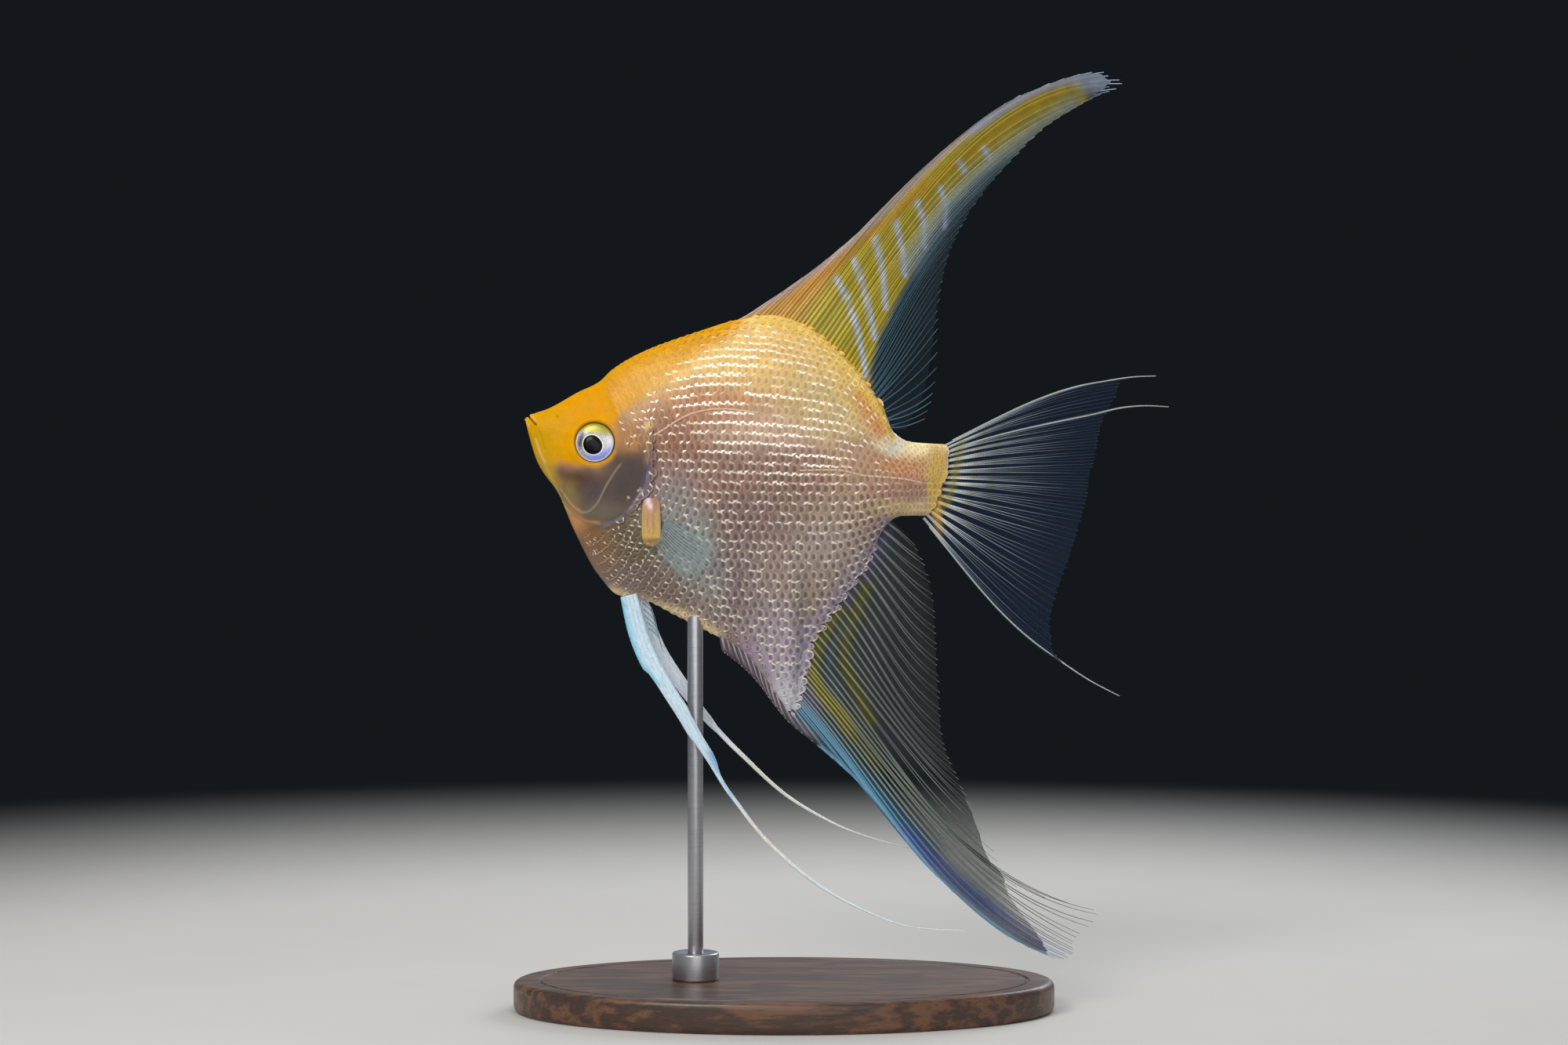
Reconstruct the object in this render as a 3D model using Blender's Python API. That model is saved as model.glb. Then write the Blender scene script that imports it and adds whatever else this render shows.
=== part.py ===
"""Freshwater angelfish (Pterophyllum scalare), a life-size still model held by a plain stand.

Lengths are in millimetres until a mesh is made, which is in metres. The origin is the middle
of the stand's underside, +Z is up, +X runs from the snout to the tail and the left flank
faces -Y. The fish's middle plane is y = 0.
"""
import math

import bmesh
import bpy
import numpy as np
from mathutils import Matrix, Vector

MM = 0.001
GAP = 0.3  # air left between two neighbouring pieces

# The body's outline in its middle plane, as (x, z), both from the lips to the tail.
BACK_LINE = (
    (-49.4, 113.8), (-48.3, 114.6), (-45.0, 115.8), (-39.0, 119.1), (-36.0, 120.5),
    (-33.0, 123.4), (-27.0, 126.9), (-18.0, 130.2), (-9.0, 133.0), (-2.5, 134.0),
    (1.5, 133.1), (6.0, 130.8), (12.0, 125.6), (16.5, 120.3), (19.5, 115.1),
    (21.2, 111.2), (24.0, 109.7), (31.5, 109.2))
BELLY_LINE = (
    (-49.4, 113.5), (-48.9, 111.3), (-47.0, 105.3), (-43.0, 99.3), (-40.5, 93.3),
    (-37.6, 87.3), (-35.8, 84.3), (-31.4, 79.8), (-27.0, 79.0), (-21.0, 76.1),
    (-13.0, 72.0), (-8.0, 69.0), (-4.5, 64.8), (0.0, 58.5), (1.2, 57.3), (2.0, 59.5),
    (4.2, 70.1), (9.0, 76.8), (15.0, 85.4), (20.5, 94.2), (22.0, 95.0), (31.5, 95.1))

# Thickness of the body: half of it at the widest level, the level itself, and how full the
# section is above and below that level (a small power is round, 1 is a wedge).
HALF_WIDTH = (
    (-49.4, 0.7), (-48.0, 1.7), (-45.0, 2.8), (-41.0, 3.9), (-36.0, 4.9), (-30.0, 5.9),
    (-24.0, 6.6), (-16.0, 6.9), (-6.0, 6.5), (4.0, 5.6), (13.0, 4.3), (22.0, 2.9), (31.5, 1.8))
WIDEST_LEVEL = (
    (-49.4, 113.6), (-46.0, 111.0), (-40.0, 107.0), (-30.0, 102.5), (-16.0, 99.5),
    (6.0, 99.0), (22.0, 101.5), (31.5, 102.3))
BACK_POWER = ((-49.4, 0.50), (-30.0, 0.55), (-12.0, 0.66), (4.0, 0.86), (18.0, 0.95), (28.0, 0.60))
BELLY_POWER = ((-49.4, 0.50), (-32.0, 0.54), (-14.0, 0.76), (2.0, 1.08), (18.0, 1.00), (28.0, 0.60))
KEEL_HALF = ((-49.4, 0.0), (-12.0, 0.1), (0.0, 0.7), (20.0, 0.7), (26.0, 0.3))
KEEL_ROUNDING = 0.8  # depth over which the keel under a fin rounds off

HEAD_END, TAIL_END = -49.4, 31.5
HEAD_RINGS, BODY_RINGS = 20, 24
HEAD_LENGTH = 23.0
LIP_SPACING = 0.3  # how close the first rings stand, as a share of even spacing
RING_STEPS = 12  # steps from the belly to the back on one flank
BLOCK_SIDE = 20.0  # half the width of the blocks that part the body

# Lines that part the body, seen from the side.
GILL_LINE = (
    (-24.6, 123.3), (-24.3, 117.3), (-25.1, 113.5), (-25.8, 111.3), (-25.8, 105.8),
    (-25.6, 103.5), (-26.4, 101.5), (-28.2, 98.5), (-30.0, 96.3), (-32.2, 94.5), (-35.2, 93.3))
NAPE_POINT, THROAT_POINT = (-27.2, 131.5), (-44.0, 89.6)
HEAD_SPACE = (-60.0, 80.0, 140.0)  # front, bottom and top of the block that holds the head
GILL_TOP_INDEX = 3  # where the gill cover starts on the gill line
CHEEK_LINE = (
    (-37.4, 95.2), (-37.5, 96.8), (-36.3, 98.5), (-34.8, 101.1), (-33.0, 103.5),
    (-31.2, 106.2), (-30.0, 111.0), (-28.0, 113.1))
COVER_INSIDE = 3.4  # how far from the middle plane a gill cover's inner face lies
COVER_SWELL = 0.35
JAW_OUTLINE = (
    (-52.0, 113.1), (-47.3, 112.7), (-45.4, 111.3), (-44.1, 108.3), (-43.4, 105.3),
    (-44.0, 101.2), (-47.0, 100.4), (-52.0, 104.0))
TAIL_CUT = 21.6
TAIL_SPACE = (80.0, 125.0, 60.0)  # bottom, top and rear of the block behind the trunk
STALK_LEVELS = (92.5, 112.0)  # where the stalk's rear edge runs out below and above the fin

EYE_PLACE = (-35.95, 109.2)
EYE_RADIUS, EYE_DEPTH, EYE_SIDE = 3.95, 2.65, 3.0
ORBIT_RADIUS, ORBIT_SPREAD, ORBIT_RISE = 4.1, 1.5, 0.45

# Fins as fans of rays, one tuple for each ray that shapes the fan:
# share of the way along the base, root, tip, and the ray's slope in degrees at both ends.
DORSAL_RAYS = (
    (0.00, (-9.0, 132.6), (-2.2, 136.7), 24, 30), (0.10, (-5.2, 132.9), (6.8, 143.2), 48, 40),
    (0.20, (-1.5, 132.9), (18.0, 152.8), 51, 43), (0.30, (1.5, 132.0), (31.5, 166.0), 52, 41),
    (0.38, (3.8, 130.7), (46.5, 176.2), 53, 30), (0.44, (6.0, 129.4), (60.0, 180.0), 54, 9),
    (0.48, (7.2, 128.4), (64.8, 177.8), 55, -2), (0.54, (9.0, 126.9), (59.7, 175.3), 56, 21),
    (0.60, (10.4, 125.4), (51.8, 170.8), 57, 29), (0.66, (12.2, 123.6), (43.5, 163.2), 57, 38),
    (0.73, (13.7, 121.9), (36.0, 154.0), 57, 43), (0.80, (15.3, 119.9), (31.8, 145.8), 55, 48),
    (0.86, (16.5, 118.0), (30.0, 137.5), 50, 53), (0.91, (17.4, 116.5), (29.4, 129.3), 42, 52),
    (0.95, (18.6, 114.2), (28.8, 120.3), 24, 45), (1.00, (19.8, 111.8), (26.7, 113.1), -6, 25))
ANAL_RAYS = (
    (0.00, (-12.6, 73.2), (-11.7, 69.3), -70, -65), (0.05, (-10.2, 71.5), (-8.4, 66.8), -66, -58),
    (0.10, (-7.5, 69.6), (-5.0, 63.4), -64, -56), (0.15, (-4.8, 66.6), (-2.1, 59.5), -60, -52),
    (0.20, (-2.4, 63.3), (0.9, 55.8), -58, -48), (0.24, (-0.6, 60.6), (6.3, 51.3), -52, -45),
    (0.28, (0.6, 60.6), (15.0, 43.4), -50, -48), (0.32, (1.1, 61.2), (30.0, 25.2), -49, -49),
    (0.36, (1.3, 62.1), (45.0, 13.2), -48, -32), (0.40, (1.6, 63.0), (53.4, 9.8), -48, -21),
    (0.45, (2.1, 65.1), (55.5, 11.0), -48, -24), (0.50, (2.4, 67.5), (56.1, 13.5), -48, -26),
    (0.55, (2.7, 69.6), (60.8, 18.6), -49, -10), (0.59, (3.6, 71.7), (45.0, 23.6), -49, -33),
    (0.64, (5.1, 74.4), (37.8, 36.0), -49, -42), (0.70, (7.5, 77.5), (33.3, 45.3), -49, -38),
    (0.75, (9.6, 80.1), (30.8, 52.0), -47, -38), (0.80, (11.8, 83.1), (30.0, 60.3), -47, -36),
    (0.86, (14.2, 87.1), (29.4, 69.3), -46, -35), (0.92, (16.2, 90.5), (28.8, 78.3), -44, -33),
    (0.96, (17.8, 92.7), (27.3, 85.0), -40, -32), (1.00, (19.5, 95.0), (24.8, 90.3), -28, -45))
CAUDAL_RAYS = (
    (0.00, (30.5, 108.9), (64.5, 121.5), 26, 4), (0.08, (30.4, 108.1), (63.6, 118.3), 25, 8),
    (0.16, (30.2, 107.1), (61.5, 114.3), 19, 13), (0.25, (30.0, 106.0), (60.3, 110.5), 15, 6),
    (0.35, (29.7, 104.5), (59.5, 106.5), 6, 3), (0.45, (29.5, 103.0), (58.6, 102.6), 0, -1),
    (0.55, (29.2, 101.4), (57.9, 98.5), -5, -6), (0.65, (28.7, 99.6), (56.5, 93.3), -13, -12),
    (0.75, (28.2, 97.8), (54.6, 87.0), -24, -20), (0.83, (27.8, 96.6), (52.5, 81.0), -34, -28),
    (0.90, (27.3, 95.7), (51.1, 75.3), -43, -36), (0.95, (26.9, 95.1), (51.3, 70.3), -48, -38),
    (1.00, (26.4, 94.6), (53.5, 66.9), -50, -30))
PECTORAL_RAYS = (
    (0.00, (-27.4, 99.0), (-19.2, 84.0), -88, -42), (0.50, (-25.4, 98.8), (-14.7, 86.1), -88, -38),
    (1.00, (-23.2, 98.5), (-12.6, 90.0), -80, -33))

RAY_HANDLE = 0.36  # how far a ray keeps its slope at each end, as a share of its length
RIDGE = 0.12  # how far a ray stands proud of the web at the root
WEB_HALF = 0.27  # half of the web's thickness at the edge

# Rays shown, rows along them, half of the thickness at the root and depth of the edge's notches.
DORSAL_PLATE, ANAL_PLATE = (18, 6, 0.55, 0.06), (22, 6, 0.55, 0.06)
CAUDAL_PLATE, PECTORAL_PLATE = (13, 5, 1.0, 0.03), (7, 4, 1.0, 0.05)

# How far a fin's edge waves out of the middle plane, how fast along its base, and from where.
DORSAL_WAVE, ANAL_WAVE, CAUDAL_WAVE = (1.3, 4.0, 0.0), (-1.5, 3.6, 1.57), (1.4, 3.0, 1.57)
PECTORAL_SIDE, PECTORAL_SPREAD, PECTORAL_CURVE = 5.4, 7.4, 0.8

# Long soft rays that run on past the tail fin's edge: share along the base, then their course.
CAUDAL_THREADS = (
    (0.03, ((67.0, 121.8), (71.1, 122.0))), (0.15, ((66.0, 116.2), (73.6, 116.1))),
    (0.99, ((58.5, 63.9), (64.2, 60.8))))
THREAD_RADIUS, THREAD_ROOTS = 0.28, (0.84, 0.92, 1.0)

# Course of each pelvic fin and the thread it runs out into, as (x, z, half of its width);
# the fins spread sideways as they run down.
LEFT_PELVIC = (
    (-29.7, 80.1, 1.5), (-27.9, 73.0, 1.7), (-25.8, 67.8, 1.65), (-22.8, 63.0, 1.4),
    (-19.3, 57.6, 1.4), (-16.5, 52.8, 1.3), (-13.8, 48.6, 1.15), (-11.8, 44.9, 0.75),
    (-9.4, 41.4, 0.6), (-3.0, 33.3, 0.45), (6.0, 25.5, 0.38), (15.0, 20.4, 0.33),
    (24.0, 17.2, 0.3), (34.4, 16.5, 0.28))
RIGHT_PELVIC = (
    (-27.9, 80.1, 1.3), (-26.4, 74.5, 1.5), (-24.3, 69.3, 1.5), (-21.8, 65.1, 1.45),
    (-19.1, 61.3, 1.35), (-16.5, 57.9, 1.15), (-13.9, 54.8, 0.95), (-11.2, 51.8, 0.8),
    (-8.2, 48.8, 0.6), (0.0, 41.2, 0.42), (9.0, 35.7, 0.35), (16.5, 32.7, 0.3), (25.8, 30.1, 0.28))
PELVIC_ROOT_SIDE, PELVIC_BLADE_SIDE, PELVIC_TIP_SIDE = 1.5, 4.6, 7.0
PELVIC_THICKNESS = (0.62, 0.28)  # half of it at the root and along the thread
PELVIC_LENGTHS = ((0.0, 0.52), (0.52, 0.76), (0.76, 1.0))  # blade and two lengths of thread
THREAD_TRIM = 0.005  # share of the course left open between two lengths
PELVIC_STEPS = 9

# Stand.
BASE_LENGTH, BASE_WIDTH, BASE_HEIGHT, BASE_BEVEL = 104.0, 60.0, 6.0, 1.2
ROD_X, ROD_RADIUS, ROD_TOP = -17.0, 1.5, 81.0
COLLAR_RADIUS, COLLAR_HEIGHT, COLLAR_BEVEL = 4.5, 5.0, 0.6


def clear_scene():
    """Remove every object that is already there."""
    for thing in list(bpy.data.objects):
        bpy.data.objects.remove(thing, do_unlink=True)


def smooth(keys):
    """Return a function that runs smoothly and without overshoot through (x, value) keys."""
    xs, ys = (np.array(column, dtype=float) for column in zip(*keys))
    steps = np.diff(xs)
    slopes = np.diff(ys) / steps
    tangents = np.concatenate(([slopes[0]], np.zeros(len(xs) - 2), [slopes[-1]]))
    product = slopes[:-1] * slopes[1:]
    same = product > 0
    tangents[1:-1][same] = 2 * product[same] / (slopes[:-1] + slopes[1:])[same]

    def value(x):
        i = int(np.clip(np.searchsorted(xs, x) - 1, 0, len(steps) - 1))
        t = min(max((x - xs[i]) / steps[i], 0.0), 1.0)
        near = ys[i] * (1 + 2 * t) + tangents[i] * steps[i] * t
        far = ys[i + 1] * (3 - 2 * t) + tangents[i + 1] * steps[i] * (t - 1)
        return float(near * (1 - t) ** 2 + far * t ** 2)

    return value


back, belly = smooth(BACK_LINE), smooth(BELLY_LINE)
half_width, widest_level = smooth(HALF_WIDTH), smooth(WIDEST_LEVEL)
back_power, belly_power, keel_half = smooth(BACK_POWER), smooth(BELLY_POWER), smooth(KEEL_HALF)


def orbit_rise(x, z):
    """Swelling of the flank round the eye."""
    distance = math.hypot(x - EYE_PLACE[0], z - EYE_PLACE[1])
    return ORBIT_RISE * math.exp(-((distance - ORBIT_RADIUS) / ORBIT_SPREAD) ** 2)


def flank(x, z):
    """Half of the body's thickness at a place on its side."""
    low, high, wide = belly(x), back(x), widest_level(x)
    above = z > wide
    reach = (high - z) / (high - wide) if above else (z - low) / (wide - low)
    reach = min(max(reach, 0.0), 1.0)
    power = back_power(x) if above else belly_power(x)
    arch = math.sin(reach * math.pi / 2) ** power
    edge = min(high - z, z - low) / KEEL_ROUNDING
    keel = keel_half(x) * math.sqrt(min(max(edge, 0.0), 1.0))
    fade = min(arch * 1.5, 1.0)
    return half_width(x) * arch + keel + orbit_rise(x, z) * fade


def add_object(name, work):
    """Make an object from a bmesh in millimetres, with its faces turned outwards."""
    bmesh.ops.recalc_face_normals(work, faces=work.faces)
    bmesh.ops.scale(work, vec=(MM, MM, MM), verts=work.verts)
    mesh = bpy.data.meshes.new(name)
    work.to_mesh(mesh)
    work.free()
    thing = bpy.data.objects.new(name, mesh)
    bpy.context.collection.objects.link(thing)
    return thing


def shape(name, vertices, faces):
    """Make an object from vertices in millimetres and faces."""
    work = bmesh.new()
    corners = [work.verts.new(v) for v in vertices]
    for face in faces:
        work.faces.new([corners[i] for i in face])
    return add_object(name, work)


def finish(thing, colour, roughness, metallic=0.0, crease=40):
    """Give a piece its material and smooth shading."""
    material = bpy.data.materials.new(thing.name)
    material.use_nodes = True
    shader = material.node_tree.nodes["Principled BSDF"]
    shader.inputs["Base Color"].default_value = (*colour, 1.0)
    shader.inputs["Roughness"].default_value = roughness
    shader.inputs["Metallic"].default_value = metallic
    thing.data.materials.append(material)
    thing.data.shade_smooth()
    thing.data.set_sharp_from_angle(angle=math.radians(crease))
    return thing


def hide_cutter(thing):
    """Mark a shape that only cuts others."""
    thing.hide_render = True
    thing.display_type = 'WIRE'
    return thing


def combine(thing, other, operation):
    """Cut a piece with another shape, keep what both share, or join the two."""
    change = thing.modifiers.new(operation.title(), 'BOOLEAN')
    change.operation = operation
    change.object = other
    change.solver = 'EXACT'
    return thing


def body_stations():
    """Places of the body's rings, closest together at the lips."""
    steps = np.linspace(0, 1, HEAD_RINGS)
    head = [HEAD_END + HEAD_LENGTH * (LIP_SPACING * t + (1 - LIP_SPACING) * t * t) for t in steps]
    rest = np.linspace(HEAD_END + HEAD_LENGTH, TAIL_END, BODY_RINGS)[1:]
    return head + list(rest)


def body_ring(x):
    """One closed ring of the body, down the right flank and up the left."""
    low, high = belly(x), back(x)
    shares = [(1 - math.cos(math.pi * k / RING_STEPS)) / 2 for k in range(RING_STEPS + 1)]
    levels = [low + (high - low) * share for share in shares]
    left = [(x, -flank(x, z), z) for z in levels[1:-1]]
    right = [(x, -y, z) for x, y, z in reversed(left)]
    return [(x, 0.0, low), *left, (x, 0.0, high), *right]


def body(name, swell=0.0):
    """The whole body as one closed shape, swollen outwards by some millimetres."""
    rings = [body_ring(float(x)) for x in body_stations()]
    count = len(rings[0])
    vertices = [v for ring in rings for v in ring]
    faces = [tuple(range(count)), tuple(range(len(vertices) - count, len(vertices)))]
    for i in range(len(rings) - 1):
        for j in range(count):
            a, b = i * count + j, i * count + (j + 1) % count
            faces.append((a, b, b + count, a + count))
    thing = shape(name, vertices, faces)
    if swell:
        change = thing.modifiers.new("Swell", 'DISPLACE')
        change.strength = swell * MM
        change.mid_level = 0.0
    return thing


def grown(outline, distance):
    """A closed outline moved outwards, or inwards if the distance is negative."""
    points = [Vector(p) for p in outline]
    area = sum(p.x * q.y - q.x * p.y for p, q in zip(points, points[1:] + points[:1]))
    turn = 1.0 if area > 0 else -1.0
    result = []
    for before, here, after in zip(points[-1:] + points[:-1], points, points[1:] + points[:1]):
        entry, leave = (here - before).normalized(), (after - here).normalized()
        first = Vector((entry.y, -entry.x)) * turn
        second = Vector((leave.y, -leave.x)) * turn
        mitre = (first + second).normalized()
        result.append(here + mitre * distance / max(mitre.dot(first), 0.5))
    return result


def block(name, outline, near=-BLOCK_SIDE, far=BLOCK_SIDE):
    """A straight-sided cutter that stands on an outline seen from the side."""
    count = len(outline)
    vertices = [(p[0], near, p[1]) for p in outline] + [(p[0], far, p[1]) for p in outline]
    faces = [tuple(range(count)), tuple(range(2 * count - 1, count - 1, -1))]
    faces += [(i, (i + 1) % count, count + (i + 1) % count, count + i) for i in range(count)]
    return hide_cutter(shape(name, vertices, faces))


def head_outline():
    """Everything in front of the gill line."""
    front, bottom, top = HEAD_SPACE
    return (NAPE_POINT, *GILL_LINE, THROAT_POINT, (front, bottom), (front, top), (NAPE_POINT[0], top))


def cover_outline():
    """A gill cover between the cheek line and the gill line."""
    return (*GILL_LINE[GILL_TOP_INDEX:], *CHEEK_LINE)


def tail_stalk_outline():
    """Everything between the trunk and the tail fin's base."""
    base = [(x - GAP, z) for _, (x, z), _, _, _ in CAUDAL_RAYS]
    low, high = STALK_LEVELS
    return ((TAIL_CUT, high), (base[0][0], high), *base, (base[-1][0], low), (TAIL_CUT, low))


def ball(name, side, swell=0.0):
    """An eyeball, flattened from side to side."""
    work = bmesh.new()
    bmesh.ops.create_uvsphere(work, u_segments=16, v_segments=8, radius=1.0)
    bmesh.ops.rotate(work, verts=work.verts, matrix=Matrix.Rotation(math.pi / 2, 3, 'X'))
    size = (EYE_RADIUS + swell, EYE_DEPTH + swell, EYE_RADIUS + swell)
    bmesh.ops.scale(work, vec=size, verts=work.verts)
    bmesh.ops.translate(work, vec=(EYE_PLACE[0], side * EYE_SIDE, EYE_PLACE[1]), verts=work.verts)
    return add_object(name, work)


def disc(name, radii, low, high, x=0.0, segments=20, bevel=0.0):
    """An upright round or oval bar, with its upper edge bevelled if asked."""
    work = bmesh.new()
    bmesh.ops.create_cone(work, cap_ends=True, segments=segments, radius1=1, radius2=1, depth=1)
    bmesh.ops.scale(work, vec=(*radii, high - low), verts=work.verts)
    bmesh.ops.translate(work, vec=(x, 0, (low + high) / 2), verts=work.verts)
    if bevel:
        rim = [e for e in work.edges if all(v.co.z > (low + high) / 2 for v in e.verts)]
        bmesh.ops.bevel(work, geom=rim, offset=bevel, segments=2, profile=0.5, affect='EDGES')
    return add_object(name, work)


class Fan:
    """A fin: a fan of curved rays with a web between them."""

    def __init__(self, rays, lean, plate):
        shares = [ray[0] for ray in rays]
        columns = zip(*((*root, *tip, rise, fall) for _, root, tip, rise, fall in rays))
        self.parts = [smooth(list(zip(shares, column))) for column in columns]
        self.lean = lean
        self.rays_shown, self.rows, self.root_half, self.notch = plate

    def place(self, share, along):
        """Point on the fin's middle surface: share along the base, then along the ray."""
        root_x, root_z, tip_x, tip_z, rise, fall = (part(share) for part in self.parts)
        root, tip = Vector((root_x, root_z)), Vector((tip_x, tip_z))
        reach = (tip - root).length * RAY_HANDLE
        first = root + reach * Vector((math.cos(math.radians(rise)), math.sin(math.radians(rise))))
        second = tip - reach * Vector((math.cos(math.radians(fall)), math.sin(math.radians(fall))))
        t, u = along, 1 - along
        spot = root * u ** 3 + first * 3 * u * u * t + second * 3 * u * t * t + tip * t ** 3
        return Vector((spot.x, self.lean(share, along), spot.y))

    def half(self, along, on_ray):
        """Half of the fin's thickness, more at the root and on a ray."""
        thick = WEB_HALF + (self.root_half - WEB_HALF) * (1 - along) ** 3
        return thick + (RIDGE * (1 - along) if on_ray else 0.0)

    def solid(self, name):
        """The fin as one closed plate with a ridge for each ray and a notched edge."""
        left, right, faces = [], [], []
        columns = 2 * self.rays_shown + 1
        for i in range(columns):
            on_ray = i % 2 == 0
            reach = 1.0 if on_ray else 1.0 - self.notch
            for j in range(self.rows + 1):
                along = reach * j / self.rows
                spot = self.place(i / (columns - 1), along)
                side = Vector((0.0, self.half(along, on_ray), 0.0))
                left.append(spot - side)
                right.append(spot + side)
        step, count = self.rows + 1, len(left)
        for i in range(columns - 1):
            for j in range(self.rows):
                a, b = i * step + j, (i + 1) * step + j
                faces += [(a, b, b + 1, a + 1), (count + a, count + a + 1, count + b + 1, count + b)]
        rim = [i * step for i in range(columns)]
        rim += [(columns - 1) * step + j for j in range(1, step)]
        rim += [i * step + self.rows for i in range(columns - 2, -1, -1)]
        rim += list(range(self.rows - 1, 0, -1))
        faces += [(a, b, count + b, count + a) for a, b in zip(rim, rim[1:] + rim[:1])]
        return shape(name, left + right, faces)


def wave(size, rate, start):
    """Return how far a fin leans sideways at a share of its base and along its rays."""
    return lambda share, along: size * along * along * math.sin(rate * share + start)


def through(points, share):
    """Point on a smooth course through points, at a share of its steps."""
    reach = share * (len(points) - 1)
    i = min(int(reach), len(points) - 2)
    t = reach - i
    before, after = points[max(i - 1, 0)], points[min(i + 2, len(points) - 1)]
    a, b = points[i], points[i + 1]
    start, end = (b - before) / 2, (after - a) / 2
    return (a * (1 + 2 * t) * (1 - t) ** 2 + b * (3 - 2 * t) * t ** 2
            + start * t * (1 - t) ** 2 - end * (1 - t) * t ** 2)


def rod_along(name, spots, wide, thin, sides=8):
    """A closed bar along a course, wide in the plane seen from the side and thin across it."""
    vertices, faces = [], []
    for i, spot in enumerate(spots):
        run = (spots[min(i + 1, len(spots) - 1)] - spots[max(i - 1, 0)]).normalized()
        across = Vector((-run.z, 0.0, run.x)).normalized()
        outward = run.cross(across).normalized()
        for k in range(sides):
            angle = 2 * math.pi * k / sides
            vertices.append(spot + across * wide[i] * math.cos(angle)
                            + outward * thin[i] * math.sin(angle))
    for i in range(len(spots) - 1):
        for k in range(sides):
            a, b = i * sides + k, i * sides + (k + 1) % sides
            faces.append((a, b, b + sides, a + sides))
    faces += [tuple(range(sides)), tuple(range(len(vertices) - sides, len(vertices)))]
    return shape(name, vertices, faces)


def make_body():
    """Head, jaw, gill covers, trunk and tail stalk, parted by thin cuts."""
    orange, flesh = (0.80, 0.42, 0.08), (0.46, 0.34, 0.30)
    half_gap = GAP / 2
    head = combine(body("head"), block("head_block", grown(head_outline(), -half_gap)), 'INTERSECT')
    combine(head, block("jaw_slit", grown(JAW_OUTLINE, half_gap)), 'DIFFERENCE')
    jaw = combine(body("jaw"), block("jaw_block", grown(JAW_OUTLINE, -half_gap)), 'INTERSECT')
    for side, name in ((-1, "left"), (1, "right")):
        near, far = sorted((side * COVER_INSIDE, side * BLOCK_SIDE))
        pocket_near, pocket_far = sorted((side * (COVER_INSIDE - GAP), side * BLOCK_SIDE))
        pocket = block(f"gill_pocket_{name}", grown(cover_outline(), half_gap), pocket_near, pocket_far)
        combine(head, pocket, 'DIFFERENCE')
        plate = block(f"gill_block_{name}", grown(cover_outline(), -half_gap), near, far)
        cover = combine(body(f"gill_cover_{name}", COVER_SWELL), plate, 'INTERSECT')
        finish(cover, (0.42, 0.36, 0.30), 0.4)
        socket = hide_cutter(ball(f"eye_socket_{name}", side, GAP))
        combine(head, socket, 'DIFFERENCE')
        finish(ball(f"eye_{name}", side), (0.45, 0.46, 0.55), 0.15)
    trunk = combine(body("trunk"), block("head_side", grown(head_outline(), half_gap)), 'DIFFERENCE')
    bottom, top, rear = TAIL_SPACE
    start = TAIL_CUT - GAP
    tail_side = block("tail_side", ((start, top), (rear, top), (rear, bottom), (start, bottom)))
    combine(trunk, tail_side, 'DIFFERENCE')
    combine(trunk, bore("rod_bore", ROD_TOP / 2, ROD_TOP + GAP), 'DIFFERENCE')
    stalk = combine(body("tail_stalk"), block("stalk_block", tail_stalk_outline()), 'INTERSECT')
    finish(head, orange, 0.4)
    finish(jaw, orange, 0.4)
    finish(trunk, flesh, 0.4)
    finish(stalk, orange, 0.4)


def make_middle_fins(keepout):
    """Dorsal, anal and tail fins, which stand in the middle plane."""
    dorsal = Fan(DORSAL_RAYS, wave(*DORSAL_WAVE), DORSAL_PLATE)
    anal = Fan(ANAL_RAYS, wave(*ANAL_WAVE), ANAL_PLATE)
    caudal = Fan(CAUDAL_RAYS, wave(*CAUDAL_WAVE), CAUDAL_PLATE)
    combine(finish(dorsal.solid("dorsal_fin"), (0.42, 0.40, 0.14), 0.5), keepout, 'DIFFERENCE')
    combine(finish(anal.solid("anal_fin"), (0.32, 0.40, 0.48), 0.5), keepout, 'DIFFERENCE')
    tail = finish(caudal.solid("caudal_fin"), (0.24, 0.28, 0.36), 0.5)
    for number, (share, course) in enumerate(CAUDAL_THREADS):
        start = [caudal.place(share, along) for along in THREAD_ROOTS]
        spots = start + [Vector((x, start[-1].y, z)) for x, z in course]
        radii = [THREAD_RADIUS] * len(spots)
        thread = rod_along(f"thread_{number}", spots, radii, radii, sides=6)
        combine(tail, hide_cutter(thread), 'UNION')


def spread(side):
    """Return how far out a pectoral fin stands, more towards the tips of its rays."""
    return lambda share, along: side * (PECTORAL_SIDE + PECTORAL_SPREAD * along ** PECTORAL_CURVE)


def make_pectorals(keepout):
    """The paired fins behind the gill covers, held away from the flanks."""
    for side, name in ((-1, "left"), (1, "right")):
        fan = Fan(PECTORAL_RAYS, spread(side), PECTORAL_PLATE)
        fin = finish(fan.solid(f"pectoral_fin_{name}"), (0.62, 0.50, 0.38), 0.5)
        combine(fin, keepout, 'DIFFERENCE')


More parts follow.
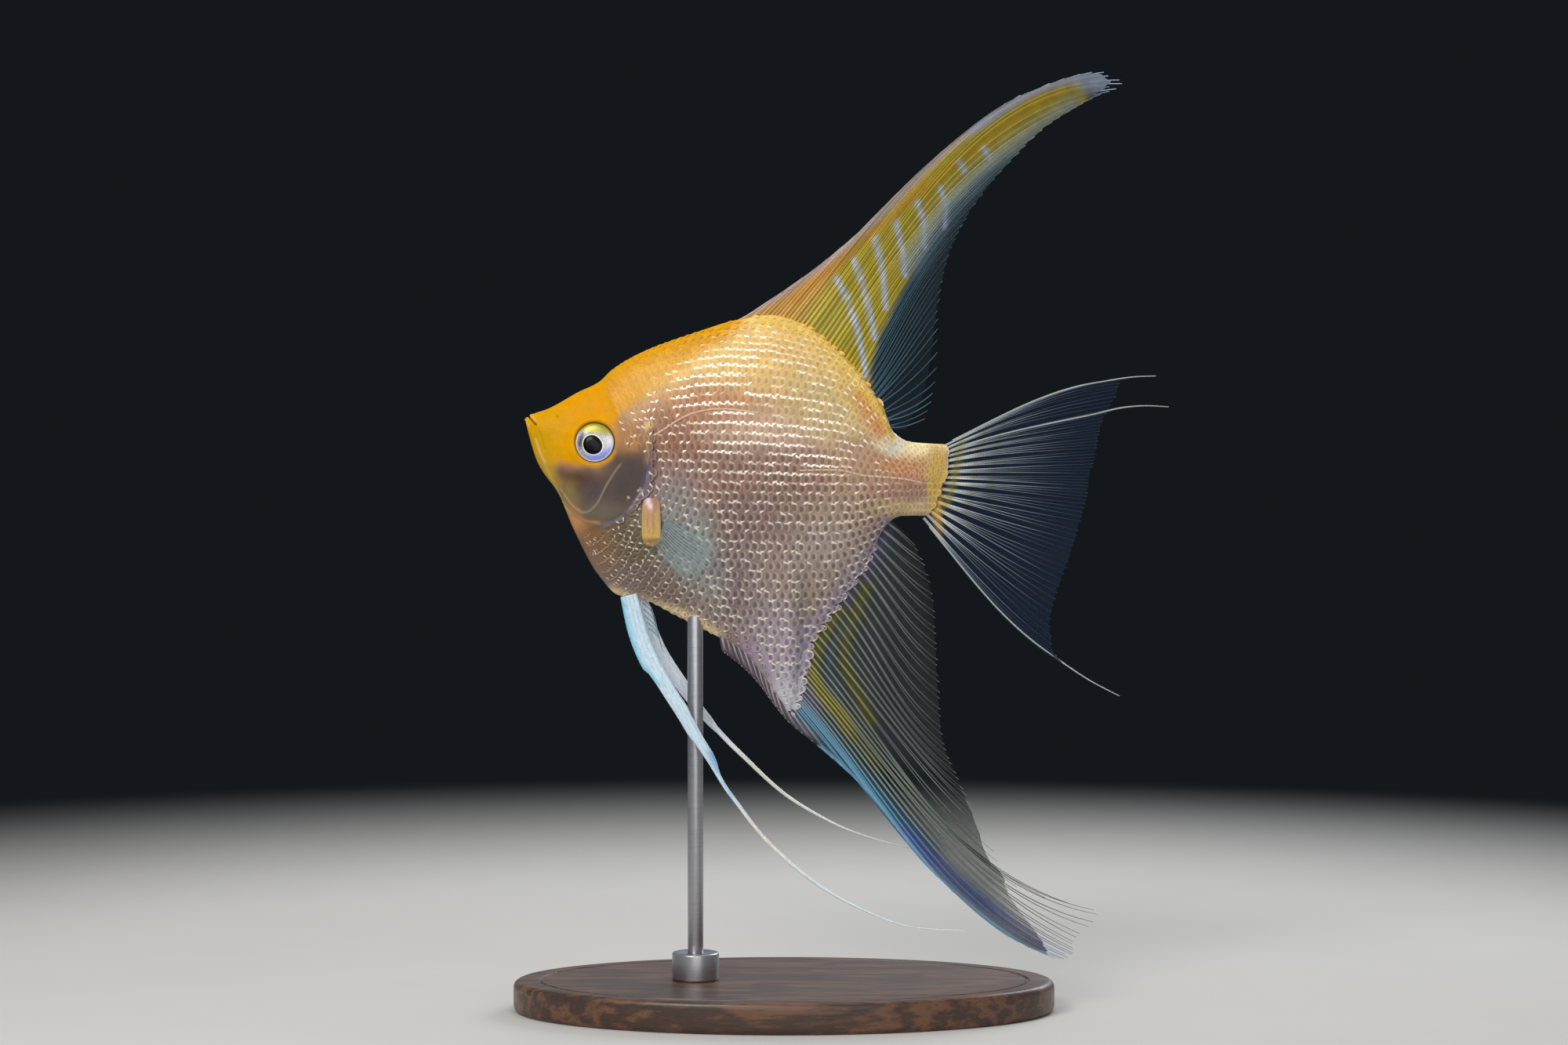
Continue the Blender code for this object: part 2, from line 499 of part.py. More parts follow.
def make_pelvics(keepout):
    """The long pelvic fins: a blade and a thread in two lengths on each side."""
    pieces = ("pelvic_fin", "pelvic_thread_upper", "pelvic_thread_lower")
    for course, side, name in ((LEFT_PELVIC, -1, "left"), (RIGHT_PELVIC, 1, "right")):
        last = len(course) - 1
        aside = smooth(((0, PELVIC_ROOT_SIDE), (4, PELVIC_BLADE_SIDE), (last, PELVIC_TIP_SIDE)))
        width = smooth([(i, half) for i, (_, _, half) in enumerate(course)])
        points = [Vector((x, side * aside(i), z)) for i, (x, z, _) in enumerate(course)]
        for piece, (start, end) in zip(pieces, PELVIC_LENGTHS):
            begin = start + (THREAD_TRIM if start else 0.0)
            shares = [float(share) for share in np.linspace(begin, end, PELVIC_STEPS + 1)]
            spots = [through(points, share) for share in shares]
            wide = [width(share * last) for share in shares]
            root, thread = PELVIC_THICKNESS
            thin = [max(root - (root - thread) * 2 * share, thread) for share in shares]
            thing = rod_along(f"{piece}_{name}", spots, wide, thin)
            finish(thing, (0.62, 0.68, 0.78), 0.45)
            if start == 0:
                combine(thing, keepout, 'DIFFERENCE')


def bore(name, low, high):
    """A cutter that leaves a hole for the stand's rod."""
    return hide_cutter(disc(name, (ROD_RADIUS + GAP, ROD_RADIUS + GAP), low, high, ROD_X))


def make_stand():
    """An oval base with a collar and one short rod up into the belly."""
    radii = (BASE_LENGTH / 2, BASE_WIDTH / 2)
    base = disc("stand_base", radii, 0.0, BASE_HEIGHT, segments=40, bevel=BASE_BEVEL)
    finish(base, (0.12, 0.08, 0.06), 0.4, crease=30)
    low = BASE_HEIGHT + GAP
    high = low + COLLAR_HEIGHT
    collar = disc("stand_collar", (COLLAR_RADIUS, COLLAR_RADIUS), low, high, ROD_X, bevel=COLLAR_BEVEL)
    combine(collar, bore("collar_bore", 0.0, 2 * high), 'DIFFERENCE')
    finish(collar, (0.6, 0.6, 0.62), 0.3, 1.0, crease=30)
    rod = disc("stand_rod", (ROD_RADIUS, ROD_RADIUS), low, ROD_TOP, ROD_X)
    finish(rod, (0.6, 0.6, 0.62), 0.3, 1.0, crease=30)


def main():
    clear_scene()
    keepout = hide_cutter(body("body_keepout", GAP))
    make_body()
    make_middle_fins(keepout)
    make_pectorals(keepout)
    make_pelvics(keepout)
    make_stand()


main()
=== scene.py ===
"""The looks of a life-size freshwater angelfish (Pterophyllum scalare) held by a display stand.

Lengths are in millimetres until a mesh is made, which is in metres. +X runs from the snout to
the tail, +Z is up, the left flank faces -Y, and the fish's middle plane is y = 0.
"""
import logging
import math
from abc import ABC, abstractmethod
from collections.abc import Callable, Sequence
from dataclasses import dataclass, field
from enum import Enum
from typing import ClassVar

import bpy
import numpy as np
from mathutils import Matrix, Vector


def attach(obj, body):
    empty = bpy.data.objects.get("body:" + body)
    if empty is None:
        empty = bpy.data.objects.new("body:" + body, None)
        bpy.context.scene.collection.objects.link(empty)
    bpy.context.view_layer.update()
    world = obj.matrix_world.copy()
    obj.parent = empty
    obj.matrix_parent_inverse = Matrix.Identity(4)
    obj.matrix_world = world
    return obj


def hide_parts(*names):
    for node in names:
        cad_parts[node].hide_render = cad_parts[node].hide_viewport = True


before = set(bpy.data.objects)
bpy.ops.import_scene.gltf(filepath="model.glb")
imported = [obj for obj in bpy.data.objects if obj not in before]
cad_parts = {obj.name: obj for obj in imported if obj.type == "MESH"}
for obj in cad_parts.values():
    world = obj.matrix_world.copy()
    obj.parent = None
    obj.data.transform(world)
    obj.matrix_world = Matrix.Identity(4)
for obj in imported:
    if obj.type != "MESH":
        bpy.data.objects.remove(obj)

LOG = logging.getLogger("angelfish")
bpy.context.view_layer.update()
MM = 0.001
ROOT = "root"

Array = np.ndarray
Colour = tuple[float, float, float]
Point = tuple[float, float]
Object = bpy.types.Object


class Side(Enum):
    """The two flanks, with the sign of their y."""

    LEFT = -1
    RIGHT = 1

    @property
    def word(self) -> str:
        """The side's name in lower case."""
        return self.name.lower()


# ---------------------------------------------------------------- smooth lines


@dataclass(frozen=True)
class Profile:
    """A smooth line through (place, value) keys that never overshoots them."""

    keys: tuple[Point, ...]

    def __call__(self, places: Array | float) -> Array:
        """Read the line.

        Args:
            places: Where to read it; outside the keys it keeps its end values.

        Returns:
            The line's value at each place.
        """
        xs, ys = np.array(self.keys, dtype=float).T
        steps = np.diff(xs)
        slopes = np.diff(ys) / steps
        tangents = np.zeros(len(xs))
        tangents[0], tangents[-1] = slopes[0], slopes[-1]
        product = slopes[:-1] * slopes[1:]
        same = product > 0
        tangents[1:-1][same] = 2 * product[same] / (slopes[:-1] + slopes[1:])[same]
        places = np.asarray(places, dtype=float)
        i = np.clip(np.searchsorted(xs, places) - 1, 0, len(steps) - 1)
        t = np.clip((places - xs[i]) / steps[i], 0, 1)
        near = ys[i] * (1 + 2 * t) + tangents[i] * steps[i] * t
        far = ys[i + 1] * (3 - 2 * t) + tangents[i + 1] * steps[i] * (t - 1)
        return near * (1 - t) ** 2 + far * t ** 2


def course(points: Sequence[Sequence[float]], shares: Array) -> Array:
    """Follow a smooth course through points.

    Args:
        points: The points that the course passes.
        shares: Places along it, from 0 at the first point to 1 at the last.

    Returns:
        One point for each share.
    """
    spots = np.array(points, dtype=float)
    reach = np.asarray(shares, dtype=float) * (len(spots) - 1)
    i = np.clip(reach.astype(int), 0, len(spots) - 2)
    t = (reach - i)[:, None]
    before, after = spots[np.maximum(i - 1, 0)], spots[np.minimum(i + 2, len(spots) - 1)]
    a, b = spots[i], spots[i + 1]
    start, end = (b - before) / 2, (after - a) / 2
    return (a * (1 + 2 * t) * (1 - t) ** 2 + b * (3 - 2 * t) * t ** 2
            + start * t * (1 - t) ** 2 - end * (1 - t) * t ** 2)


def ramp(values: Array, low: float, high: float) -> Array:
    """Rise smoothly from 0 where the values are low to 1 where they are high."""
    t = np.clip((values - low) / (high - low), 0, 1)
    return t * t * (3 - 2 * t)


def bell(distance: Array, width: float) -> Array:
    """Fall softly from 1 at no distance to nearly 0 at twice the width."""
    return np.exp(-(distance / width) ** 2)


def nearest(points: Sequence[Point], x: Array, z: Array, steps: int = 48) -> Array:
    """Distance from each place to a smooth course through points."""
    line = course(points, np.linspace(0, 1, steps))
    result = np.full(np.shape(x), np.inf)
    for (ax, az), (bx, bz) in zip(line[:-1], line[1:]):
        length = max((bx - ax) ** 2 + (bz - az) ** 2, 1e-12)
        t = np.clip(((x - ax) * (bx - ax) + (z - az) * (bz - az)) / length, 0, 1)
        result = np.minimum(result, (x - ax - t * (bx - ax)) ** 2 + (z - az - t * (bz - az)) ** 2)
    return np.sqrt(result)


def mottle(x: Array, z: Array, size: float, seed: int) -> Array:
    """Smooth, seeded unevenness from -1 to 1 whose blots are about one size across."""
    table = np.random.default_rng(seed).uniform(-1, 1, (64, 64))
    gx, gz = x / size, z / size
    i, j = np.floor(gx).astype(int), np.floor(gz).astype(int)
    s, t = ramp(gx - i, 0, 1), ramp(gz - j, 0, 1)
    corner = lambda a, b: table[(i + a) % 64, (j + b) % 64]
    low = corner(0, 0) * (1 - s) + corner(1, 0) * s
    high = corner(0, 1) * (1 - s) + corner(1, 1) * s
    return low * (1 - t) + high * t


# ---------------------------------------------------------------- the body's form


@dataclass(frozen=True)
class BodyForm:
    """The body's outline and thickness, from the lips to the tail fin's base."""

    start: float = -49.4
    end: float = 31.5
    back: Profile = Profile((
        (-49.4, 113.8), (-48.3, 114.6), (-45, 115.8), (-39, 119.1), (-36, 120.5),
        (-33, 123.4), (-27, 126.9), (-18, 130.2), (-9, 133), (-2.5, 134),
        (1.5, 133.1), (6, 130.8), (12, 125.6), (16.5, 120.3), (19.5, 115.1),
        (21.2, 111.2), (24, 109.7), (31.5, 109.2)))
    belly: Profile = Profile((
        (-49.4, 113.5), (-48.9, 111.3), (-47, 105.3), (-43, 99.3), (-40.5, 93.3),
        (-37.6, 87.3), (-35.8, 84.3), (-31.4, 79.8), (-27, 79), (-21, 76.1),
        (-13, 72), (-8, 69), (-4.5, 64.8), (0, 58.5), (1.2, 57.3), (2, 59.5),
        (4.2, 70.1), (9, 76.8), (15, 85.4), (20.5, 94.2), (22, 95), (31.5, 95.1)))
    half_width: Profile = Profile((
        (-49.4, 0.7), (-48, 1.7), (-45, 2.8), (-41, 3.9), (-36, 4.9), (-30, 5.9),
        (-24, 6.6), (-16, 6.9), (-6, 6.5), (4, 5.6), (13, 4.3), (22, 2.9),
        (28, 1.9), (31.5, 0.8)))
    widest: Profile = Profile((
        (-49.4, 113.6), (-46, 111), (-40, 107), (-30, 102.5), (-16, 99.5),
        (6, 99), (22, 101.5), (31.5, 102.3)))
    back_power: Profile = Profile((
        (-49.4, 0.5), (-30, 0.55), (-12, 0.66), (4, 0.86), (18, 0.95), (28, 0.6)))
    belly_power: Profile = Profile((
        (-49.4, 0.5), (-32, 0.54), (-14, 0.76), (2, 1.08), (18, 1), (28, 0.6)))
    keel: Profile = Profile(((-49.4, 0), (-12, 0.1), (0, 0.7), (20, 0.7), (26, 0.3)))
    keel_rounding: float = 0.8
    midline: Profile = Profile(((-50, 111), (-30, 104.5), (-10, 103), (31, 102.2)))

    tail_start: float = 22.0
    tail_end: Profile = Profile(((94.6, 26.9), (97.8, 28.6), (102, 30), (106, 30.8), (109.2, 31.3)))

    def slant(self, x: Array, z: Array) -> Array:
        """Draw places near the tail in, so that the stalk ends along the tail fin's slanting base."""
        share = (self.tail_end(z) - self.tail_start) / (self.end - self.tail_start)
        return np.where(x > self.tail_start, self.tail_start + (x - self.tail_start) * share, x)

    def flank(self, x: Array, z: Array) -> Array:
        """Half of the body's thickness at places on its side."""
        low, high, wide = self.belly(x), self.back(x), self.widest(x)
        above = z > wide
        reach = np.where(above, (high - z) / (high - wide), (z - low) / (wide - low))
        power = np.where(above, self.back_power(x), self.belly_power(x))
        arch = np.sin(np.clip(reach, 0, 1) * math.pi / 2) ** power
        edge = np.clip(np.minimum(high - z, z - low) / self.keel_rounding, 0, 1)
        return self.half_width(x) * arch + self.keel(x) * np.sqrt(edge)


BODY = BodyForm()


@dataclass(frozen=True)
class HeadPlan:
    """Where the features of the head lie, seen from the side."""

    eye: Point = (-35.95, 109.5)
    eye_radius: float = 3.95
    pupil_shift: Point = (-0.2, -0.21)
    nostril: Point = (-43.2, 114.3)
    mouth: tuple[Point, ...] = ((-49.1, 114.6), (-48.6, 114.1), (-48, 113.5), (-47.4, 112.8))
    lip_groove: tuple[Point, ...] = ((-47.4, 112.8), (-46.5, 110.6), (-45.8, 108))
    jaw_ridge: tuple[Point, ...] = ((-47.4, 109.9), (-46.6, 107.5), (-45.6, 105.5))
    cheek_ridge: tuple[Point, ...] = (
        (-31, 105.4), (-32.4, 103.6), (-34, 100.9), (-35.4, 98.1), (-36.7, 96.7),
        (-38, 96.2), (-39.4, 96.7), (-40.7, 97.9), (-41.9, 99.5), (-42.5, 100.4))
    gill_edge: tuple[Point, ...] = (
        (-42.3, 97.5), (-40.5, 95.7), (-38.2, 94.5), (-35.2, 93.9), (-32.2, 94.7), (-30, 96.4),
        (-28.2, 98.5), (-26.5, 101.4), (-25.7, 103.6), (-25.8, 106), (-25.9, 109),
        (-25.9, 111.4), (-26.6, 113.3))
    gill_knob: Point = (-25.9, 112.4)
    scales_from: Profile = Profile((
        (76, -30), (80, -32.2), (84, -35.4), (88, -37.6), (91.5, -39.2), (92.8, -37.6),
        (93.6, -35.4), (94.6, -32.7), (96.3, -30.3), (98.5, -28.5), (101.5, -26.7),
        (103.5, -26), (107.2, -26.3), (108.8, -30.2), (112.5, -31.4), (115, -32.2),
        (117.5, -33.6), (121, -35.6), (124, -33.6), (130, -28)))


HEAD = HeadPlan()


# ---------------------------------------------------------------- markings


def linear(colour: Colour) -> Array:
    """Turn a colour as the eye sees it, 0 to 255, into the light that a shader works with."""
    share = np.array(colour, dtype=float) / 255.0
    return np.where(share > 0.04045, ((share + 0.055) / 1.055) ** 2.4, share / 12.92)


class Mark(ABC):
    """A soft-edged marking, seen from the fish's side."""

    colour: Colour
    strength: float
    stray: ClassVar[float] = 1.0

    @abstractmethod
    def cover(self, x: Array, z: Array) -> Array:
        """How much of the marking lies on each place, from 0 to 1."""


@dataclass(frozen=True)
class Patch(Mark):
    """An oval of colour."""

    centre: Point
    size: Point
    colour: Colour
    strength: float = 1.0
    turn: float = 0.0
    soft: float = 0.6

    def cover(self, x: Array, z: Array) -> Array:
        """How much of the oval lies on each place, from 0 to 1."""
        c, s = math.cos(math.radians(self.turn)), math.sin(math.radians(self.turn))
        dx, dz = x - self.centre[0], z - self.centre[1]
        reach = np.hypot((dx * c + dz * s) / self.size[0], (dz * c - dx * s) / self.size[1])
        return 1 - ramp(reach, 1 - self.soft, 1 + self.soft)


@dataclass(frozen=True)
class Area(Mark):
    """A field of colour inside an outline, fading over a few millimetres at its edge."""

    outline: tuple[Point, ...]
    colour: Colour
    strength: float = 1.0
    soft: float = 2.0

    def cover(self, x: Array, z: Array) -> Array:
        """How much of the field lies on each place, from 0 to 1."""
        points = np.array(self.outline)
        inside = np.zeros(np.shape(x), dtype=bool)
        distance = np.full(np.shape(x), np.inf)
        for (ax, az), (bx, bz) in zip(points, np.roll(points, -1, axis=0)):
            if az != bz:
                crosses = (az > z) != (bz > z)
                inside ^= crosses & (x < (bx - ax) * (z - az) / (bz - az) + ax)
            length = (bx - ax) ** 2 + (bz - az) ** 2
            t = np.clip(((x - ax) * (bx - ax) + (z - az) * (bz - az)) / length, 0, 1)
            distance = np.minimum(distance, np.hypot(x - ax - t * (bx - ax), z - az - t * (bz - az)))
        return ramp(np.where(inside, distance, -distance), -self.soft, self.soft)


@dataclass(frozen=True)
class Line(Mark):
    """A painted line along a smooth course, which hardly strays from it."""

    points: tuple[Point, ...]
    width: float
    colour: Colour
    strength: float = 1.0
    stray: ClassVar[float] = 0.2

    def cover(self, x: Array, z: Array) -> Array:
        """How much of the line lies on each place, from 0 to 1."""
        return bell(nearest(self.points, x, z), self.width)


def paint(ground: Colour, marks: Sequence[Mark], x: Array, z: Array, wander: float = 0.6) -> Array:
    """Lay markings over a ground colour.

    Args:
        ground: The colour where no marking lies.
        marks: The markings, from the lowest to the uppermost.
        x: Places along the fish.
        z: Places above the ground.
        wander: How far the markings' edges stray, in millimetres.

    Returns:
        One colour for each place, as a shader works with it.
    """
    drift_x = wander * (mottle(x, z, 4, 1) + 0.5 * mottle(x, z, 1.7, 2))
    drift_z = wander * (mottle(x, z, 4, 3) + 0.5 * mottle(x, z, 1.7, 4))
    result = np.tile(linear(ground), (len(x), 1))
    for mark in marks:
        share = (mark.cover(x + drift_x * mark.stray, z + drift_z * mark.stray) * mark.strength)[:, None]
        result += (linear(mark.colour) - result) * share
    return result


def amount(marks: Sequence[Mark], ground: float, x: Array, z: Array) -> Array:
    """Lay marks that hold an amount, in the first place of their colour, over a ground amount."""
    result = np.full(len(x), ground)
    for mark in marks:
        result += (mark.colour[0] - result) * mark.cover(x, z) * mark.strength
    return result


ORANGE: Colour = (224, 158, 0)

BODY_GROUND: Colour = (150, 122, 110)
BODY_MARKS: tuple[Mark, ...] = (
    # Flank, from the warm back down to the grey belly.
    Area(((-30, 112), (-12, 116), (12, 112), (40, 104), (40, 150), (-30, 150)), (222, 178, 118), 0.9, 6),
    Area(((-28, 120), (-12, 122), (4, 119), (14, 113), (24, 108), (24, 150),
          (-28, 150)), (240, 200, 120), 0.9, 4),
    Patch((-15, 116.5), (9, 4), (190, 132, 92), 0.8, -8, 0.7),
    Patch((-21, 110.4), (7, 5.4), (148, 98, 74), 0.85, 0, 0.7),
    Patch((-1, 111.6), (12, 3.4), (222, 190, 160), 0.6, 0, 0.8),
    Patch((8, 116.5), (9, 5.5), (206, 182, 128), 0.8, -35, 0.7),
    Patch((12.5, 121), (7, 3), (226, 192, 112), 0.8, -52, 0.7),
    Patch((-6, 102.5), (16, 5), (150, 114, 102), 0.8),
    Patch((14.5, 104.4), (8, 4.6), (188, 152, 118), 0.8, -6, 0.7),
    Patch((13, 97), (9, 4), (176, 150, 124), 0.7, 10, 0.7),
    Patch((3, 100.6), (6, 3.4), (144, 112, 98), 0.7, 0, 0.8),
    Area(((-30, 98), (-14, 94), (2, 94), (16, 90), (24, 94), (24, 50),
          (-45, 50), (-45, 98)), (142, 130, 122), 0.85, 5),
    Patch((2, 84), (14, 9), (160, 142, 132), 0.7, 40, 0.7),
    Patch((-9.5, 94.5), (4.5, 5.5), (124, 102, 100), 0.7, 10, 0.7),
    Patch((-10, 82.5), (4.5, 6), (118, 102, 110), 0.6, -20, 0.8),
    Patch((9, 89.6), (6, 5), (176, 160, 152), 0.6, 0, 0.8),
    Patch((-15, 81), (4, 3.6), (158, 148, 138), 0.6, 0, 0.8),
    Patch((-2, 96), (5, 7), (128, 104, 100), 0.5, 0, 0.8),
    Patch((-4.5, 76), (6, 5), (118, 98, 104), 0.5, -30, 0.8),
    Patch((-18.5, 90), (5, 8), (150, 162, 162), 0.9, 20, 0.7),
    Patch((-20, 98), (4, 6), (138, 134, 134), 0.7, 0, 0.8),
    # Breast and belly edge.
    Patch((-30.5, 90), (8, 6), (90, 80, 56), 0.85, -30, 0.7),
    Patch((-26, 82.5), (9, 3.6), (116, 96, 88), 0.8, -20, 0.7),
    Patch((-36.5, 91), (3.6, 6), (130, 96, 64), 0.85, 25, 0.7),
    Line(((-33, 80.6), (-28.5, 79.4), (-22.5, 77.6), (-18, 75.6), (-13, 72.8)), 1.1, (232, 208, 160), 0.85),
    Patch((-6, 68.5), (5, 3), (150, 128, 146), 0.6, -35, 0.8),
    # Sheath at the anal fin's base.
    Patch((0.5, 68), (6, 10), (168, 156, 172), 0.8, 20, 0.7),
    Patch((1.2, 60.5), (3.5, 5), (198, 198, 206), 0.8, 0, 0.8),
    Line(((20, 94), (14.5, 85.2), (8.6, 77.2), (4.4, 72), (2.6, 65)), 1.6, (158, 148, 176), 0.6),
    # Tail stalk.
    Patch((25, 108.6), (6.5, 1.8), (250, 232, 176), 0.95, -3),
    Patch((20.6, 109.6), (2.2, 2.2), (226, 224, 206), 0.9, 0, 0.7),
    Patch((23.5, 104.6), (6, 2.4), (204, 140, 88), 0.8, -4, 0.7),
    Patch((22, 100.6), (7, 2.2), (168, 124, 104), 0.8, -2, 0.7),
    Patch((24, 96.6), (6, 1.6), (214, 186, 136), 0.8, 0, 0.7),
    Patch((29.4, 102), (1.8, 8), (214, 178, 74), 0.85),
    Line(((15.2, 118.2), (17, 115), (18.8, 111.8)), 1.8, (200, 104, 58), 0.85),
    # Back, nape and head.
    Line(((-4, 132.6), (2, 131.4), (8, 127.6), (13, 122.4), (17.6, 116.6), (20.6, 110.8)), 1.5,
         (240, 200, 96), 0.85),
    Area(((-60, 104.6), (-46.6, 104.6), (-43, 105.6), (-38.9, 105.4), (-34.4, 105.4), (-32.8, 106.4),
          (-32, 109), (-32, 112.1), (-31.1, 114.9), (-27.4, 117.6), (-25.4, 121), (-21, 123.2),
          (-17, 125.6), (-12, 128.4), (-8, 131.4), (-7, 136), (-60, 150)), ORANGE, 1, 1.5),
    Patch((-24, 122), (6, 2.2), (232, 178, 62), 0.5, 30, 0.8),
    Patch((-37, 116.5), (6, 3), (226, 150, 0), 0.6, 30, 0.8),
    Patch((-45.5, 112.5), (3.4, 3.4), (212, 156, 2), 0.8, 0, 0.8),
    Patch((-46.2, 108.6), (2.4, 4), (204, 158, 16), 0.8, 18, 0.8),
    # Cheek and throat below the orange.
    Area(((-52, 104.2), (-45.4, 104.4), (-41.6, 104.3), (-38, 103.6), (-34.6, 103.9), (-32.4, 105.6),
          (-31.2, 109.4), (-30.6, 112.6), (-26, 112.4), (-25.6, 104), (-28.2, 98.4), (-32.2, 94.4),
          (-38.2, 94.2), (-42.3, 97.2), (-47, 103)), (104, 87, 74), 1, 2),
    Patch((-39, 102.6), (3.6, 2.2), (88, 60, 38), 0.85, -12, 0.8),
    Patch((-41.6, 99.6), (2.8, 2.8), (142, 122, 72), 0.75, 50, 0.8),
    Patch((-45, 103.2), (1.8, 3.6), (190, 152, 44), 0.9, 20, 0.8),
    Patch((-29.6, 103), (4, 5.4), (80, 70, 70), 0.9, -25, 0.8),
    Patch((-36.5, 100), (2.8, 2.6), (84, 74, 80), 0.7, 0, 0.8),
    Patch((-29.8, 110.8), (3.4, 2.8), (188, 134, 80), 0.9, 0, 0.8),
    Patch((-34, 96.4), (4.6, 1.6), (108, 100, 88), 0.7, 0, 0.8),
    Patch((-41, 94.4), (3.4, 2.2), (200, 142, 92), 0.8, -40, 0.8),
    Line(((-39.4, 106), (-36, 105.1), (-33.4, 106.1), (-32.2, 107.8)), 0.42, (206, 150, 20), 0.7),
    Line(HEAD.cheek_ridge, 0.17, (168, 154, 124), 0.6),
    Line(((-42.3, 97.5), (-40.5, 95.7), (-38.2, 94.6), (-35.2, 94.1)), 0.3, (206, 164, 112), 0.7),
    Line(HEAD.gill_edge[3:9], 0.24, (154, 146, 168), 0.75),
    # Painted shadow: a dark purple strip along the gill cover's rear edge.
    Patch((-26.2, 103.4), (0.9, 4.2), (104, 88, 122), 0.6, -6, 0.8),
    Line(((-26.1, 106.2), (-26, 109.6), (-26.3, 112.6)), 0.6, (172, 134, 92), 0.7),
    Patch(HEAD.gill_knob, (0.9, 0.8), (232, 196, 138), 0.9),
    Patch((-27.7, 100.8), (0.4, 0.2), (224, 216, 204), 0.8, 30, 0.5),
    Patch((-29.7, 99.3), (0.32, 0.26), (210, 206, 200), 0.8, 0, 0.5),
    # Lips, jaw and the rim round the eye.
    # Painted highlight: a pale line along the jaw ridge.
    Line(HEAD.jaw_ridge, 0.24, (230, 206, 126), 0.5),
    Line(((-46.2, 106.6), (-43.6, 101), (-41.6, 96.6)), 0.3, (204, 176, 96), 0.5),
    Line(HEAD.mouth, 0.14, (136, 84, 8), 0.8),
    Line(((-49.4, 113.4), (-48.8, 112.9)), 0.35, (246, 214, 110), 0.5),
    Line(((-48.1, 114.4), (-47.5, 113.6)), 0.3, (246, 206, 90), 0.4),
)

# How strong the silvery lines between the rows of scales are, partly the scales' own silvery sheen and partly
# painted highlight, glints of the lamps; where they dim, only flecks are left.
SILVER_GLINT_GROUND = 0.42
SILVER_GLINT_MARKS: tuple[Mark, ...] = (
    Area(((-22, 119), (-14, 127), (-4, 128.5), (4, 124), (9, 114), (9, 103), (-4, 101.5),
          (-12, 105), (-18, 112)), (1, 0, 0), 1, 3),
    Area(((-25, 108), (-6, 102), (10, 104), (14, 100), (0, 95), (-20, 98)), (0.52, 0, 0), 0.8, 3),
    Patch((12, 92), (6, 3), (0.55, 0, 0), 0.8, 20),
    Area(((-60, 150), (-60, 108), (-32, 112), (-26, 120), (-14, 128.5), (6, 134)), (0.1, 0, 0), 1, 1.5),
    Area(((17, 90), (33, 90), (33, 112), (17, 112)), (0.14, 0, 0), 0.9, 2.5),
)
# How pale the rims are.
RIM_GROUND = 0.34
RIM_MARKS: tuple[Mark, ...] = (
    Area(((-40, 92), (-40, 50), (30, 50), (24, 98), (4, 100), (-12, 92)), (0.64, 0, 0), 1, 6),
    Area(((-60, 150), (-60, 108), (-28, 114), (-22, 121), (-10, 129.5), (6, 133)), (0.2, 0, 0), 1, 1.5),
)
# How dark the hearts are.
HEART_GROUND = 0.45
HEART_MARKS: tuple[Mark, ...] = (
    Area(((-24, 108), (-14, 112), (14, 104), (33, 104), (33, 50), (-24, 70)), (0.75, 0, 0), 1, 4),
    Patch((14, 90), (11, 9), (0.9, 0, 0), 1, 30),
    Area(((-60, 150), (-60, 108), (-28, 112), (-20, 119), (-8, 127.5), (8, 133)), (0.22, 0, 0), 1, 2),
    Area(((18, 90), (33, 90), (33, 112), (16, 116)), (0.45, 0, 0), 1, 2.5),
)


# ---------------------------------------------------------------- shaders


def arithmetic(operation: str, swapped: bool = False) -> Callable[..., "Signal"]:
    """Make a method that adds a Math node on a signal and what it is given.

    Args:
        operation: The Math node's operation.
        swapped: Whether what is given comes before the signal.

    Returns:
        The method.
    """
    def method(signal: "Signal", *others: "Signal | float") -> "Signal":
        """Add the node."""
        return signal.combine(operation, *((*others, signal) if swapped else (signal, *others)))
    return method


class Signal:
    """A socket that carries a number; arithmetic on it adds Math nodes."""

    __add__ = __radd__ = arithmetic("ADD")
    __sub__, __rsub__ = arithmetic("SUBTRACT"), arithmetic("SUBTRACT", swapped=True)
    __mul__ = __rmul__ = arithmetic("MULTIPLY")
    __truediv__ = arithmetic("DIVIDE")
    __pow__ = arithmetic("POWER")
    __abs__ = arithmetic("ABSOLUTE")
    sine = arithmetic("SINE")

    def __init__(self, graph: "Graph", socket: bpy.types.NodeSocket) -> None:
        """Wrap a socket of a graph."""
        self.graph = graph
        self.socket = socket

    def combine(self, operation: str, *values: "Signal | float") -> "Signal":
        """Add a Math node on the given values."""
        feeds = dict(enumerate(values))
        made = self.graph.node("ShaderNodeMath", {"operation": operation}, feeds)
        return Signal(self.graph, made.outputs[0])

    def clamped(self) -> "Signal":
        """The value kept between 0 and 1."""
        return self.combine("MINIMUM", self.combine("MAXIMUM", self, 0), 1)

    def between(self, low: float, high: float) -> "Signal":
        """Rise smoothly from 0 where the value is low to 1 where it is high."""
        settings = {"interpolation_type": "SMOOTHSTEP"}
        feeds = {"Value": self, "From Min": low, "From Max": high}
        return Signal(self.graph, self.graph.node("ShaderNodeMapRange", settings, feeds).outputs[0])


Feed = Signal | bpy.types.NodeSocket | float | tuple | Array


